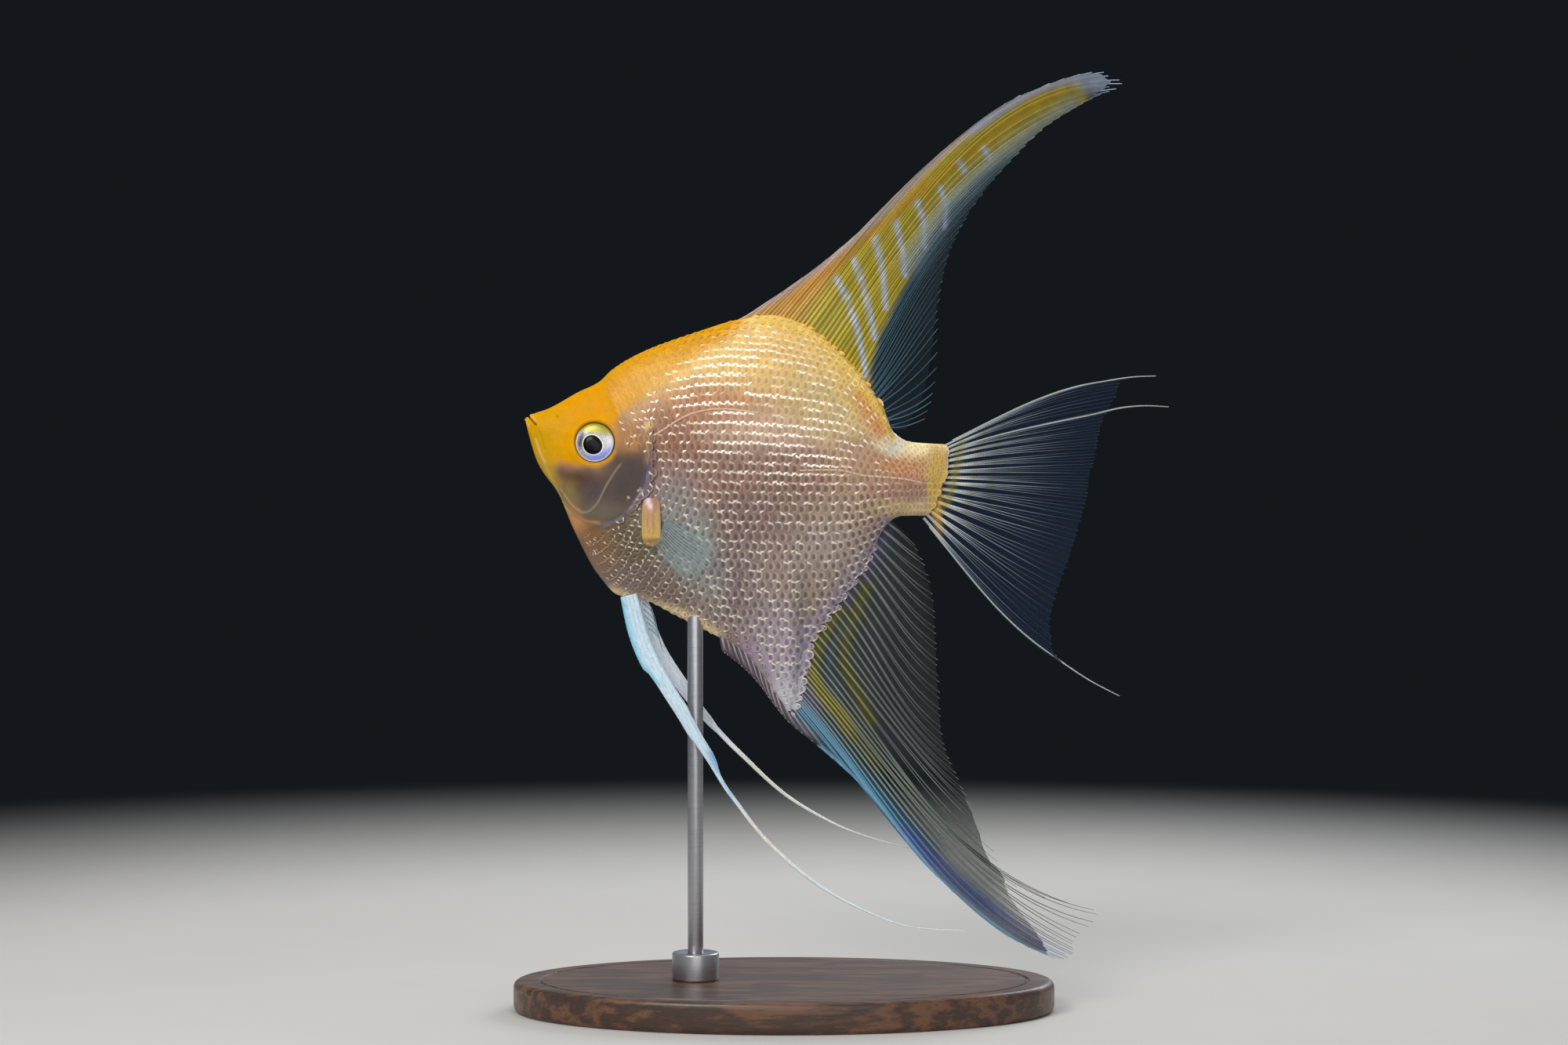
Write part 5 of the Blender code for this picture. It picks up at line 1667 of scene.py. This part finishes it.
def anal_marks(light: float) -> tuple[Mark, ...]:
    """Markings of the anal fin, on rays of full brightness or on the darker web."""
    def tint(colour: Colour) -> Colour:
        return tuple(c * light for c in colour)

    return (
        Area(((1, 62), (20, 94), (27, 88), (30, 60), (33, 46), (15, 50)),
             tint((108, 116, 116)), 0.7, 3),
        Line(((19, 92.4), (16.8, 87.4), (12.2, 80.4), (7, 73.4), (4.4, 66.5), (5.4, 59)), 1.7,
             tint((140, 138, 168)), 0.8),
        Line(((15.8, 81.6), (13.4, 75.8), (11.5, 70.2), (12.2, 65.4), (14.6, 60.4), (16.6, 56.2)), 1.25,
             tint((150, 148, 70)), 0.8),
        Line(((10.4, 77.2), (6.8, 71.2), (5.2, 66), (7.2, 61.2), (10.6, 57.4), (12.6, 54.4)), 1.35,
             tint((172, 164, 70)), 0.95),
        Line(((12.2, 75), (9.2, 69.8), (8.6, 65.6), (10.4, 61.2)), 0.6, tint((120, 152, 168)), 0.6),
        Line(((12.6, 54.4), (17.7, 47.8)), 1.3, tint((140, 138, 88)), 0.6),
        Line(ANAL_FRONT, 2.2, tint((172, 156, 168)), 0.95),
        Line(ANAL_SKY, 1.7, tint((96, 154, 184)), 0.95),
        Line(ANAL_VIOLET, 1.5, tint((104, 128, 206)), 0.9),
        # Painted highlight along the fin's leading edge, as bright on the web as on the rays.
        Line(((7, 50.9), (15, 43.6), (30, 25.6), (44, 13.9), (52.6, 10.2)), 0.4, (136, 186, 222), 0.7),
        Patch((52, 19), (9, 6), tint((112, 104, 100)), 0.85, -30),
    )


ANAL = Fin(
    name="anal", node="anal_fin",
    fan=Fan((
        Ray(0, (-12.6, 73.2), (-11.7, 69.3), -70, -65), Ray(0.05, (-10.2, 71.5), (-8.4, 66.8), -66, -58),
        Ray(0.1, (-7.5, 69.6), (-5, 63.4), -64, -56), Ray(0.15, (-4.8, 66.6), (-2.1, 59.5), -60, -52),
        Ray(0.2, (-2.4, 63.3), (0.9, 55.8), -58, -48), Ray(0.24, (-0.6, 60.6), (6.3, 51.3), -52, -45),
        Ray(0.28, (0.6, 60.6), (15, 43.4), -50, -48), Ray(0.32, (1.1, 61.2), (30, 25.2), -49, -49),
        Ray(0.36, (1.3, 62.1), (45, 13.2), -48, -32), Ray(0.4, (1.6, 63), (53.4, 9.8), -48, -21),
        Ray(0.45, (2.1, 65.1), (55.5, 11), -48, -24), Ray(0.5, (2.4, 67.5), (56.1, 13.5), -48, -26),
        Ray(0.55, (2.7, 69.6), (60.8, 18.6), -49, -10), Ray(0.59, (3.6, 71.7), (45, 23.6), -49, -33),
        Ray(0.64, (5.1, 74.4), (37.8, 36), -49, -42), Ray(0.7, (7.5, 77.5), (33.3, 45.3), -49, -38),
        Ray(0.75, (9.6, 80.1), (30.8, 52), -47, -38), Ray(0.8, (11.8, 83.1), (30, 60.3), -47, -36),
        Ray(0.86, (14.2, 87.1), (29.4, 69.3), -46, -35), Ray(0.92, (16.2, 90.5), (28.8, 78.3), -44, -33),
        Ray(0.96, (17.8, 92.7), (27.3, 85), -40, -32), Ray(1, (19.5, 95), (24.8, 90.3), -28, -45),
    ), wave(-1.5, 3.6, 1.57)),
    paint=FinPaint(
        web=(16, 28, 28), web_marks=anal_marks(0.52),
        ray=(142, 152, 146), ray_marks=anal_marks(1),
        cover=0.42, cover_marks=(
            Area(((1, 62), (20, 94), (22, 84), (17, 60), (20, 44), (8, 50)), (0.8, 0, 0), 0.9, 3),
            Line(ANAL_FRONT, 3.4, (1, 0, 0)), Line(ANAL_SKY, 2.4, (0.95, 0, 0), 0.95),
            Line(ANAL_VIOLET, 1.8, (0.85, 0, 0), 0.85), Patch((52, 18), (10, 5), (0.12, 0, 0), 0.8, -20)),
        ray_cover=0.75),
    rays=48, strands=(-0.16, 0.16), bunch=Profile(((0, 0.2), (0.5, 0.6), (1, 1.2))),
    radius=Profile(((0, 0.2), (0.3, 0.15), (0.8, 0.105), (1, 0.05))),
    web_reach=Profile(((0, 0.96), (0.24, 0.97), (0.36, 0.985), (0.46, 0.9), (0.56, 0.74), (0.6, 0.94),
                       (0.7, 0.985), (0.92, 0.985), (1, 0.9))),
    ray_reach=Profile(((0, 1), (1, 1))))

CAUDAL_MARKS: tuple[Mark, ...] = (
    Area(((28, 92), (48, 82), (48, 121), (28, 112)), (170, 178, 188), 0.85, 6),
    Area(((28, 92), (35, 90), (37.5, 104), (36, 114), (28, 112)), (214, 218, 216), 0.8, 2.5),
    Line(((66, 124), (61, 108), (57.5, 92), (52, 74)), 6.5, (42, 60, 64), 0.85),
    Line(((34.2, 109.4), (33, 104.6), (32, 100.4), (31.2, 97.4)), 0.75, (150, 146, 60), 0.75),
    Line(((38, 111.4), (36.8, 106.4), (35.8, 100.6), (35, 96)), 0.55, (148, 144, 70), 0.45),
    Line(((42, 113.2), (40.6, 106), (39.6, 99.6), (38, 92.4)), 0.6, (140, 138, 76), 0.4),
    Patch((28.8, 102), (1.9, 8.6), (212, 174, 74), 0.95, 6, 0.5),
)

CAUDAL = Fin(
    name="caudal", node="caudal_fin",
    fan=Fan((
        Ray(0, (30.5, 108.9), (64.5, 121.5), 26, 4), Ray(0.08, (30.4, 108.1), (63.6, 118.3), 25, 8),
        Ray(0.16, (30.2, 107.1), (61.5, 114.3), 19, 13), Ray(0.25, (30, 106), (60.3, 110.5), 15, 6),
        Ray(0.35, (29.7, 104.5), (59.5, 106.5), 6, 3), Ray(0.45, (29.5, 103), (58.6, 102.6), 0, -1),
        Ray(0.55, (29.2, 101.4), (57.9, 98.5), -5, -6), Ray(0.65, (28.7, 99.6), (56.5, 93.3), -13, -12),
        Ray(0.75, (28.2, 97.8), (54.6, 87), -24, -20), Ray(0.83, (27.8, 96.6), (52.5, 81), -34, -28),
        Ray(0.9, (27.3, 95.7), (51.1, 75.3), -43, -36), Ray(0.95, (26.9, 95.1), (51.3, 70.3), -48, -38),
        Ray(1, (26.4, 94.6), (53.5, 66.9), -50, -30),
    ), wave(1.4, 3, 1.57)),
    paint=FinPaint(
        web=(12, 28, 50), web_marks=(
            Line(((34.2, 109.4), (33, 104.6), (32, 100.4), (31.2, 97.4)), 0.75, (112, 110, 44), 0.6),
            Patch((28.6, 102), (1.3, 8.6), (196, 156, 56), 0.95, 6, 0.5)),
        ray=(108, 126, 136), ray_marks=CAUDAL_MARKS,
        cover=0.58, cover_marks=(Patch((29.6, 102), (4, 9), (1, 0, 0)),), ray_cover=0.85),
    rays=16, strands=(-0.375, -0.125, 0.125, 0.375),
    bunch=Profile(((0, 0.34), (0.2, 0.52), (0.6, 0.8), (1, 1))),
    radius=Profile(((0, 0.15), (0.3, 0.115), (0.8, 0.085), (1, 0.06))),
    web_reach=Profile(((0, 0.995), (1, 0.995))),
    ray_reach=Profile(((0, 1), (1, 1))), uneven=0.38,
    threads=((0.004, ((66.6, 121.8), (71.1, 122))), (0.14, ((64.4, 115.9), (69, 116.3), (73.6, 116.1))),
             (0.99, ((58, 64.1), (64.2, 60.8)))))


@dataclass
class Pectoral:
    """A paired fin behind the gill cover: a fleshy lobe and a clear fan held away from the flank."""

    side: Side
    root_side: float = 5.4
    spread: float = 5.6
    curve: float = 1.4
    lobe_centre: Point = (-25.2, 94.8)
    lobe_size: tuple[float, float, float] = (2, 0.55, 5)
    lobe_side: float = 6.75
    sprout: Point = (0.5, 0.25)
    rays: int = 13
    steps: int = 24
    columns: int = 60
    rows: int = 30
    web_thickness: float = 0.12
    web_finish: WebFinish = field(default_factory=WebFinish)
    ray_finish: RayFinish = field(default_factory=RayFinish)
    paint: FinPaint = field(default_factory=lambda: FinPaint(
        web=(150, 172, 174), web_marks=(), ray=(178, 190, 188), ray_marks=(
            Area(((-28.6, 101), (-22.9, 101), (-22.9, 89.4), (-28.6, 89.4)), (188, 148, 104), 1, 0.3),
            Patch((-25.4, 91.8), (1.7, 2), (200, 164, 84), 0.8),
            # Painted highlight: two pink-white spots at the top of the lobe.
            Patch((-25.7, 98.6), (0.45, 1), (242, 216, 234), 0.9),
            Patch((-25.2, 97.2), (0.4, 0.8), (240, 220, 230), 0.8),
            Patch((-26.4, 99.4), (0.7, 0.8), (180, 176, 206), 0.7, 0, 0.7),
            Patch((-24.3, 98.6), (0.5, 2), (166, 112, 104), 0.7, 0, 0.7),
            Line(((-27, 97.4), (-27.1, 94), (-26.8, 90.6)), 0.34, (186, 162, 66), 0.8),
            Line(((-24.2, 96), (-24, 93), (-23.9, 90.8)), 0.34, (204, 174, 84), 0.7),
            Line(((-25.6, 96.6), (-25.9, 94.4), (-25.6, 92.4)), 0.12, (160, 106, 70), 0.6),
            Line(((-24.9, 97), (-24.7, 94.6), (-24.9, 92)), 0.12, (160, 106, 70), 0.6),
            Line(((-23.3, 99.4), (-23.2, 95), (-23.4, 91.6)), 0.22, (170, 178, 176), 0.8)),
        cover=0.17, cover_marks=(
            Area(((-27.3, 103), (-23, 103), (-23.2, 91.2), (-27.3, 91.2)), (1, 0, 0), 1, 0.7),
        ), ray_cover=0.36))

    def fan(self) -> Fan:
        """The fin's curved surface."""
        sign = self.side.value
        return Fan((Ray(0, (-27.4, 99), (-19.2, 84), -88, -42),
                    Ray(0.5, (-25.4, 98.8), (-14.7, 86.1), -88, -38),
                    Ray(1, (-23.2, 98.5), (-12.6, 90), -80, -33)),
                   lambda share, along: sign * (
                       self.root_side + self.spread * (0.72 + 0.28 * share) * along ** self.curve))

    def web(self, fan: Fan) -> None:
        """Shape and paint the clear web."""
        share = np.linspace(0, 1, self.columns + 1)[:, None] + np.zeros(self.rows + 1)
        reach = 0.985 - 0.03 * np.abs(np.sin(math.pi * self.rays * share))
        start = self.sprout[0] - self.sprout[1] * share
        along = start + (reach - start) * np.linspace(0, 1, self.rows + 1)[None, :]
        web = lay_grid(f"pectoral_web_{self.side.word}", fan.place(share, along), "Fin")
        thicken(web, self.web_thickness)
        tidy_shell(web, fill=False)
        self.paint.on_web(web)
        settle(web, self.web_finish, 70, f"pectoral_fin_{self.side.word}")

    def build(self) -> None:
        """Build the fin's web, rays and lobe."""
        fan = self.fan()
        self.web(fan)
        share = ((np.arange(self.rays) + 0.5) / self.rays)[:, None]
        start = self.sprout[0] - self.sprout[1] * share
        along = start + (1 - start) * np.linspace(0, 1, self.steps)[None, :]
        radii = Profile(((0, 0.16), (0.4, 0.11), (1, 0.05)))(along) + 0 * share
        paths = fan.place(share + 0 * along, along + 0 * share)
        rays = tubes(f"pectoral_rays_{self.side.word}", paths, radii)
        join(rays, self.lobe())
        self.paint.on_rays(rays)
        settle(rays, self.ray_finish, 60)

    def lobe(self) -> Object:
        """Shape the fleshy lobe over the rays' roots, with a groove for each bundle of muscle."""
        bpy.ops.object.select_all(action="DESELECT")
        bpy.ops.mesh.primitive_uv_sphere_add(segments=48, ring_count=32, radius=1.0)
        lobe = bpy.context.active_object
        lobe.name = lobe.data.name = f"pectoral_lobe_{self.side.word}"
        ball = points_of(lobe) * MM
        groove = 0.10 * np.sin(ball[:, 0] * 9.0 + 0.8 * ball[:, 2])
        groove *= 0.3 + 0.7 * ramp(-ball[:, 2], -0.7, 0.6)
        square = np.sign(ball) * np.abs(ball) ** (0.72, 0.9, 0.6)
        width = 0.92 - 0.10 * ball[:, 2]
        thin = 1 - 0.35 * ramp(-ball[:, 2], -0.2, 1)
        out = self.lobe_side + (1 - thin) * 0.9 - 1.3 * ramp(ball[:, 2], 0.3, 1.1)
        x = self.lobe_centre[0] + square[:, 0] * self.lobe_size[0] * width
        y = self.side.value * (out + (square[:, 1] + groove) * self.lobe_size[1] * thin)
        z = self.lobe_centre[1] + square[:, 2] * self.lobe_size[2]
        move_points(lobe, np.stack([x, y, z], -1))
        write_amount(lobe, "Length", np.zeros(len(x)))
        tidy_shell(lobe, fill=False)
        return lobe


@dataclass(frozen=True)
class Strand:
    """One ray of a pelvic fin: its place across the blade and where along the fin it ends."""

    across: float
    end: float
    start: float = 0.0
    aside: float = 0.0


@dataclass
class Pelvic:
    """A long pelvic fin: a stiff blade of flat rays, two of which run out into a thread."""

    side: Side
    course: tuple[tuple[float, float, float], ...]
    strands: tuple[Strand, ...]
    colour: Colour
    marks: tuple[Mark, ...]
    fringe: tuple[tuple[Point, Point], ...] = ()
    root_side: float = 1.5
    blade_side: float = 4.6
    tip_side: float = 7.0
    steps: int = 110
    finish: PelvicFinish = field(default_factory=PelvicFinish)
    ray_finish: RayFinish = field(default_factory=RayFinish)

    def line(self, shares: Array) -> tuple[Array, Array]:
        """The fin's middle line and half width at shares of its course."""
        last = len(self.course) - 1
        aside = Profile(((0, self.root_side), (4, self.blade_side), (float(last), self.tip_side)))
        spots = course([(x, z) for x, z, _ in self.course], shares)
        half = Profile(tuple((float(i), half) for i, (_, _, half) in enumerate(self.course)))(shares * last)
        side = self.side.value * aside(shares * last)
        return np.stack([spots[:, 0], side, spots[:, 1]], -1), half

    def build(self) -> None:
        """Shape the strands side by side, then paint and dress them."""
        paths, radii = [], []
        for strand in self.strands:
            shares = np.linspace(strand.start, strand.end, self.steps)
            spots, half = self.line(shares)
            run = np.gradient(spots, axis=0)
            run /= np.linalg.norm(run, axis=1, keepdims=True)
            rear = np.stack([-run[:, 2], np.zeros(len(run)), run[:, 0]], -1)
            t = np.linspace(0, 1, self.steps)
            close = 1 - 0.35 * ramp(shares, 0.5, 0.75)
            spots = spots + rear * (strand.across * half * close * 0.72)[:, None]
            spots[:, 1] += self.side.value * strand.aside
            paths.append(spots)
            tip = np.sqrt(np.clip((1 - t) / 0.1, 0, 1)) if strand.end < 1 else 1 - 0.75 * ramp(t, 0.7, 1)
            radii.append(half * (0.40 + 0.35 * ramp(shares, 0.5, 0.8)) * np.maximum(tip, 0.08))
        fin = tubes(f"pelvic_{self.side.word}", np.array(paths), np.array(radii), sides=10, flat=0.62)
        where = points_of(fin)
        write_colour(fin, "Marking", paint(self.colour, self.marks, where[:, 0], where[:, 2], 0.3))
        nodes = (f"pelvic_{part}_{self.side.word}" for part in ("fin", "thread_upper", "thread_lower"))
        settle(fin, self.finish, 60, *nodes)
        if self.fringe:
            self.build_fringe()

    def build_fringe(self) -> None:
        """Shape the short soft rays behind the fin's root."""
        paths = []
        for root, tip in self.fringe:
            bend = ((root[0] + tip[0]) / 2 + 0.5, (root[1] + tip[1]) / 2 + 0.5)
            flat = course([root, bend, tip], np.linspace(0, 1, 16))
            side = self.side.value * np.linspace(self.root_side, self.root_side + 2.4, 16)
            paths.append(np.stack([flat[:, 0], side, flat[:, 1]], -1))
        radii = np.tile(np.linspace(0.17, 0.05, 16), (len(paths), 1))
        fringe = tubes(f"pelvic_fringe_{self.side.word}", np.array(paths), radii)
        where = points_of(fringe)
        write_colour(fringe, "Marking", np.tile(linear((120, 146, 168)), (len(where), 1)))
        write_amount(fringe, "Cover", np.full(len(where), 0.55))
        settle(fringe, self.ray_finish, 60)


LEFT_PELVIC = Pelvic(
    Side.LEFT,
    course=((-29.7, 80.1, 1.5), (-27.9, 73, 1.7), (-25.8, 67.8, 1.65), (-22.8, 63, 1.4), (-19.3, 57.6, 1.4),
            (-16.5, 52.8, 1.3), (-13.8, 48.6, 1.15), (-11.8, 44.9, 0.75), (-9.4, 41.4, 0.6), (-3, 33.3, 0.45),
            (6, 25.5, 0.38), (15, 20.4, 0.33), (24, 17.2, 0.3), (34.4, 16.5, 0.28)),
    strands=(Strand(-0.95, 0.185, aside=0.15), Strand(-0.62, 0.4), Strand(-0.3, 1, aside=0.2),
             Strand(0.05, 1, aside=0.05), Strand(0.4, 0.52, aside=0.2), Strand(0.72, 0.49),
             Strand(0.98, 0.33, aside=0.1)),
    colour=(204, 228, 242),
    marks=(Line(((-31, 79), (-29.6, 73.6), (-27.6, 67.8), (-24.4, 63.2)), 0.7, (112, 196, 228), 0.8),
           Patch((-12.6, 48.6), (1.2, 3), (120, 172, 226), 0.8, 30),
           Patch((-10, 44), (1.6, 3.6), (190, 220, 244), 0.7),
           Area(((-8, 42), (0, 40), (40, 28), (40, 8), (-10, 34)), (236, 234, 224), 1, 3)),
    fringe=(((-27.4, 79.6), (-24.6, 75.6)), ((-27, 78.6), (-24.2, 74.2)), ((-26.8, 77.4), (-24, 72.8)),
            ((-26.6, 76.2), (-23.6, 71.6)), ((-26.2, 75), (-23.4, 70.4)), ((-25.8, 73.8), (-23.2, 69.6))))

RIGHT_PELVIC = Pelvic(
    Side.RIGHT,
    course=((-27.9, 80.1, 1.3), (-26.4, 74.5, 1.5), (-24.3, 69.3, 1.5), (-21.8, 65.1, 1.45),
            (-19.1, 61.3, 1.35), (-16.5, 57.9, 1.15), (-13.9, 54.8, 0.95), (-11.2, 51.8, 0.8),
             (-8.2, 48.8, 0.6), (0, 41.2, 0.42),
            (9, 35.7, 0.35), (16.5, 32.7, 0.3), (25.8, 30.1, 0.28)),
    strands=(Strand(-0.95, 0.3), Strand(-0.55, 0.55, aside=0.15), Strand(-0.15, 1),
             Strand(0.2, 1, aside=0.15), Strand(0.55, 0.53), Strand(0.95, 0.42, aside=0.15)),
    # Painted light: the fin's pale colour and the patch on its upper part are lightened to offset the shade
    # it lies in behind the left fin and the trunk, over the fin's own blue-white.
    colour=(232, 242, 252),
    marks=(Patch((-17.5, 61), (2, 4), (226, 232, 248), 0.7, 35),
           Line(((-16, 60.4), (-12, 54.6)), 0.5, (168, 204, 214), 0.7),
           Area(((-9, 51), (0, 46), (40, 36), (40, 20), (-8, 44)), (220, 218, 204), 1, 3)))


# ---------------------------------------------------------------- stand


@dataclass
class Stand:
    """A flat oval base, a collar and one short rod up into the belly."""

    base_size: tuple[float, float, float] = (104, 60, 6)
    base_bevel: float = 1.3
    rod_x: float = -17.0
    rod_radius: float = 1.5
    rod_top: float = 81.0
    collar_radius: float = 4.5
    collar_low: float = 6.0
    collar_high: float = 11.3
    wood: WoodFinish = field(default_factory=WoodFinish)
    steel: SteelFinish = field(default_factory=SteelFinish)

    @staticmethod
    def bar(name: str, radius: float, low: float, high: float, x: float, sides: int) -> Object:
        """Add an upright round bar whose place is in its mesh."""
        bpy.ops.object.select_all(action="DESELECT")
        bpy.ops.mesh.primitive_cylinder_add(
            vertices=sides, radius=radius * MM, depth=(high - low) * MM,
            location=(x * MM, 0, (low + high) / 2 * MM))
        thing = bpy.context.active_object
        thing.name = thing.data.name = name
        bpy.ops.object.transform_apply(location=True, rotation=True, scale=True)
        return thing

    @staticmethod
    def pick(thing: Object, wanted: Callable[[bpy.types.MeshPolygon], bool]) -> None:
        """Select the faces that pass a test, in edit mode."""
        only(thing)
        bpy.ops.object.mode_set(mode="EDIT")
        bpy.ops.mesh.select_mode(type="FACE")
        bpy.ops.mesh.select_all(action="DESELECT")
        bpy.ops.object.mode_set(mode="OBJECT")
        for face in thing.data.polygons:
            face.select = wanted(face)
        bpy.ops.object.mode_set(mode="EDIT")

    @staticmethod
    def soften(thing: Object, width: float, segments: int) -> None:
        """Round the sharp edges."""
        only(thing)
        change = thing.modifiers.new("Rounding", "BEVEL")
        change.limit_method = "ANGLE"
        change.angle_limit = math.radians(50)
        change.width = width * MM
        change.segments = segments
        bpy.ops.object.modifier_apply(modifier=change.name)

    def base(self) -> None:
        """Turn the wooden base: a rounded rim, a shallow line inside it, and an oval plan."""
        length, width, height = self.base_size
        base = self.bar("base", length / 2, 0, height, 0, 160)
        self.soften(base, self.base_bevel, 6)
        self.pick(base, lambda face: face.normal.z > 0.99 and len(face.vertices) > 4)
        for thickness, depth in ((3.4, 0), (0.25, -0.35), (0.35, 0), (0.25, 0.35), (14, 0), (14, 0)):
            bpy.ops.mesh.inset(thickness=thickness * MM, depth=depth * MM)
        bpy.ops.mesh.select_all(action="SELECT")
        bpy.ops.transform.resize(value=(1, width / length, 1), center_override=(0, 0, 0))
        bpy.ops.object.mode_set(mode="OBJECT")
        settle(base, self.wood, 35, "stand_base")

    def collar(self) -> None:
        """Turn the collar, with a shallow step sunk in its top."""
        low, high = self.collar_low, self.collar_high
        collar = self.bar("collar", self.collar_radius, low, high, self.rod_x, 96)
        self.pick(collar, lambda face: face.normal.z > 0.99)
        bpy.ops.mesh.inset(thickness=1.6 * MM, depth=0.0)
        bpy.ops.mesh.inset(thickness=0.5 * MM, depth=-0.25 * MM)
        bpy.ops.object.mode_set(mode="OBJECT")
        self.soften(collar, 0.35, 4)
        settle(collar, self.steel, 35, "stand_collar")

    def rod(self) -> None:
        """Make the rod, with a turned shoulder above the collar and a rounded top."""
        rod = self.bar("rod", self.rod_radius, self.collar_low, self.rod_top, self.rod_x, 48)
        self.pick(rod, lambda face: face.normal.z > 0.99)
        bpy.ops.mesh.inset(thickness=0.3 * MM, depth=0.0)
        bpy.ops.mesh.extrude_region_move(TRANSFORM_OT_translate={"value": (0, 0, 0.3 * MM)})
        bpy.ops.object.mode_set(mode="OBJECT")
        self.soften(rod, 0.2, 3)
        settle(rod, self.steel, 35, "stand_rod")

    def build(self) -> None:
        """Build the whole stand."""
        self.base()
        self.collar()
        self.rod()


# ---------------------------------------------------------------- studio

BLACK: Colour = (0, 0, 0)


@dataclass(frozen=True)
class Lamp:
    """A soft square lamp aimed at a point."""

    name: str
    place: tuple[float, float, float]
    size: float
    power: float
    colour: Colour = (1, 1, 1)

    def hang(self, aim: Vector) -> None:
        """Hang the lamp so that it faces the aim."""
        light = bpy.data.lights.new(self.name, "AREA")
        light.shape = "SQUARE"
        light.size = self.size * MM
        light.energy = self.power
        light.color = self.colour
        holder = bpy.data.objects.new(self.name, light)
        place = Vector(self.place) * MM
        turn = (aim - place).to_track_quat("-Z", "Y").to_matrix().to_4x4()
        holder.matrix_world = Matrix.Translation(place) @ turn
        bpy.context.scene.collection.objects.link(holder)


@dataclass
class Studio:
    """Pale floor, soft lamps, dim surroundings and the camera."""

    aim: tuple[float, float, float] = (0, 0, 94)
    lens: float = 105.0
    view_width: float = 300.0
    elevation: float = 3.0
    floor_radius: float = 1400.0
    floor_fade: tuple[float, float] = (170, 420)
    floor_colour: Colour = (206, 204, 200)
    surround: Colour = (0.007, 0.009, 0.011)
    ambient: Colour = (0.3, 0.31, 0.33)
    lamps: tuple[Lamp, ...] = (
        Lamp("key", (-260, -460, 420), 260, 2.2, (1, 0.97, 0.92)),
        Lamp("front", (60, -700, 160), 500, 1.2),
        Lamp("top", (40, 60, 620), 320, 0.8),
        Lamp("back", (260, 420, 340), 260, 1.2, (0.92, 0.96, 1)))

    def floor(self) -> None:
        """Lay a round floor painted pale near the model and dark away from it, a painted pool of light, whose
        far part glows faintly with the surroundings' colour.
        """
        bpy.ops.object.select_all(action="DESELECT")
        bpy.ops.mesh.primitive_circle_add(vertices=128, radius=self.floor_radius * MM, fill_type="NGON")
        floor = bpy.context.active_object
        floor.name = floor.data.name = "floor"
        graph = Graph("floor")
        place = graph.node("ShaderNodeVectorMath", {"operation": "LENGTH"}, {0: graph.place()})
        away = Signal(graph, place.outputs["Value"]) / MM
        near, far = self.floor_fade
        grain = graph.noise((30, 30, 30), 4)
        colour = graph.scaled(linear(self.floor_colour), 0.97 + 0.06 * grain)
        # Painted pool of light: the floor darkens to black away from the model and gives off the dim
        # surroundings' colour there instead.
        painted_dark = away.between(near, far)
        graph.set(Base_Color=graph.mix(colour, BLACK, painted_dark), Roughness=0.8, Specular_IOR_Level=0.0,
                  Emission_Color=graph.mix(BLACK, self.surround, painted_dark), Emission_Strength=1.0)
        floor.data.materials.append(graph.material)

    def surroundings(self) -> None:
        """Dim surroundings as seen, brighter as light."""
        world = bpy.data.worlds.new("surroundings")
        bpy.context.scene.world = world
        world.use_nodes = True
        tree = world.node_tree
        tree.nodes.clear()
        seen = tree.nodes.new("ShaderNodeBackground")
        seen.inputs[0].default_value = (*self.surround, 1)
        lit = tree.nodes.new("ShaderNodeBackground")
        lit.inputs[0].default_value = (*self.ambient, 1)
        path = tree.nodes.new("ShaderNodeLightPath")
        mix = tree.nodes.new("ShaderNodeMixShader")
        out = tree.nodes.new("ShaderNodeOutputWorld")
        tree.links.new(path.outputs["Is Camera Ray"], mix.inputs[0])
        tree.links.new(lit.outputs[0], mix.inputs[1])
        tree.links.new(seen.outputs[0], mix.inputs[2])
        tree.links.new(mix.outputs[0], out.inputs[0])

    def camera(self) -> None:
        """Place the camera square on to the left flank, a little above it."""
        camera = bpy.data.cameras.new("camera")
        camera.lens = self.lens
        camera.sensor_width = 36.0
        camera.clip_start = 0.01
        holder = bpy.data.objects.new("camera", camera)
        bpy.context.scene.collection.objects.link(holder)
        distance = self.view_width * self.lens / camera.sensor_width
        tilt = math.radians(self.elevation)
        aim = Vector(self.aim) * MM
        place = aim + Vector((0, -math.cos(tilt), math.sin(tilt))) * distance * MM
        turn = (aim - place).to_track_quat("-Z", "Y").to_matrix().to_4x4()
        holder.matrix_world = Matrix.Translation(place) @ turn
        bpy.context.scene.camera = holder
        bpy.context.scene.view_settings.view_transform = "Standard"

    def build(self) -> None:
        """Set up the whole studio."""
        self.camera()
        self.floor()
        self.surroundings()
        for lamp in self.lamps:
            lamp.hang(Vector(self.aim) * MM)


def main() -> None:
    """Build the model and the studio."""
    logging.basicConfig(level=logging.INFO, format="%(name)s: %(message)s")
    Skin().build()
    flanks = FlankMap()
    for side in Side:
        Coat(side, flanks, "front", -60, -8).build()
        Coat(side, flanks, "rear", -8, 60).build()
        LateralLine(side, flanks).build()
        Eye(side).build()
        Pectoral(side).build()
    for fin in (DORSAL, ANAL, CAUDAL):
        fin.build()
    for pelvic in (LEFT_PELVIC, RIGHT_PELVIC):
        pelvic.build()
    Stand().build()
    Studio().build()


if __name__ == "__main__":
    main()
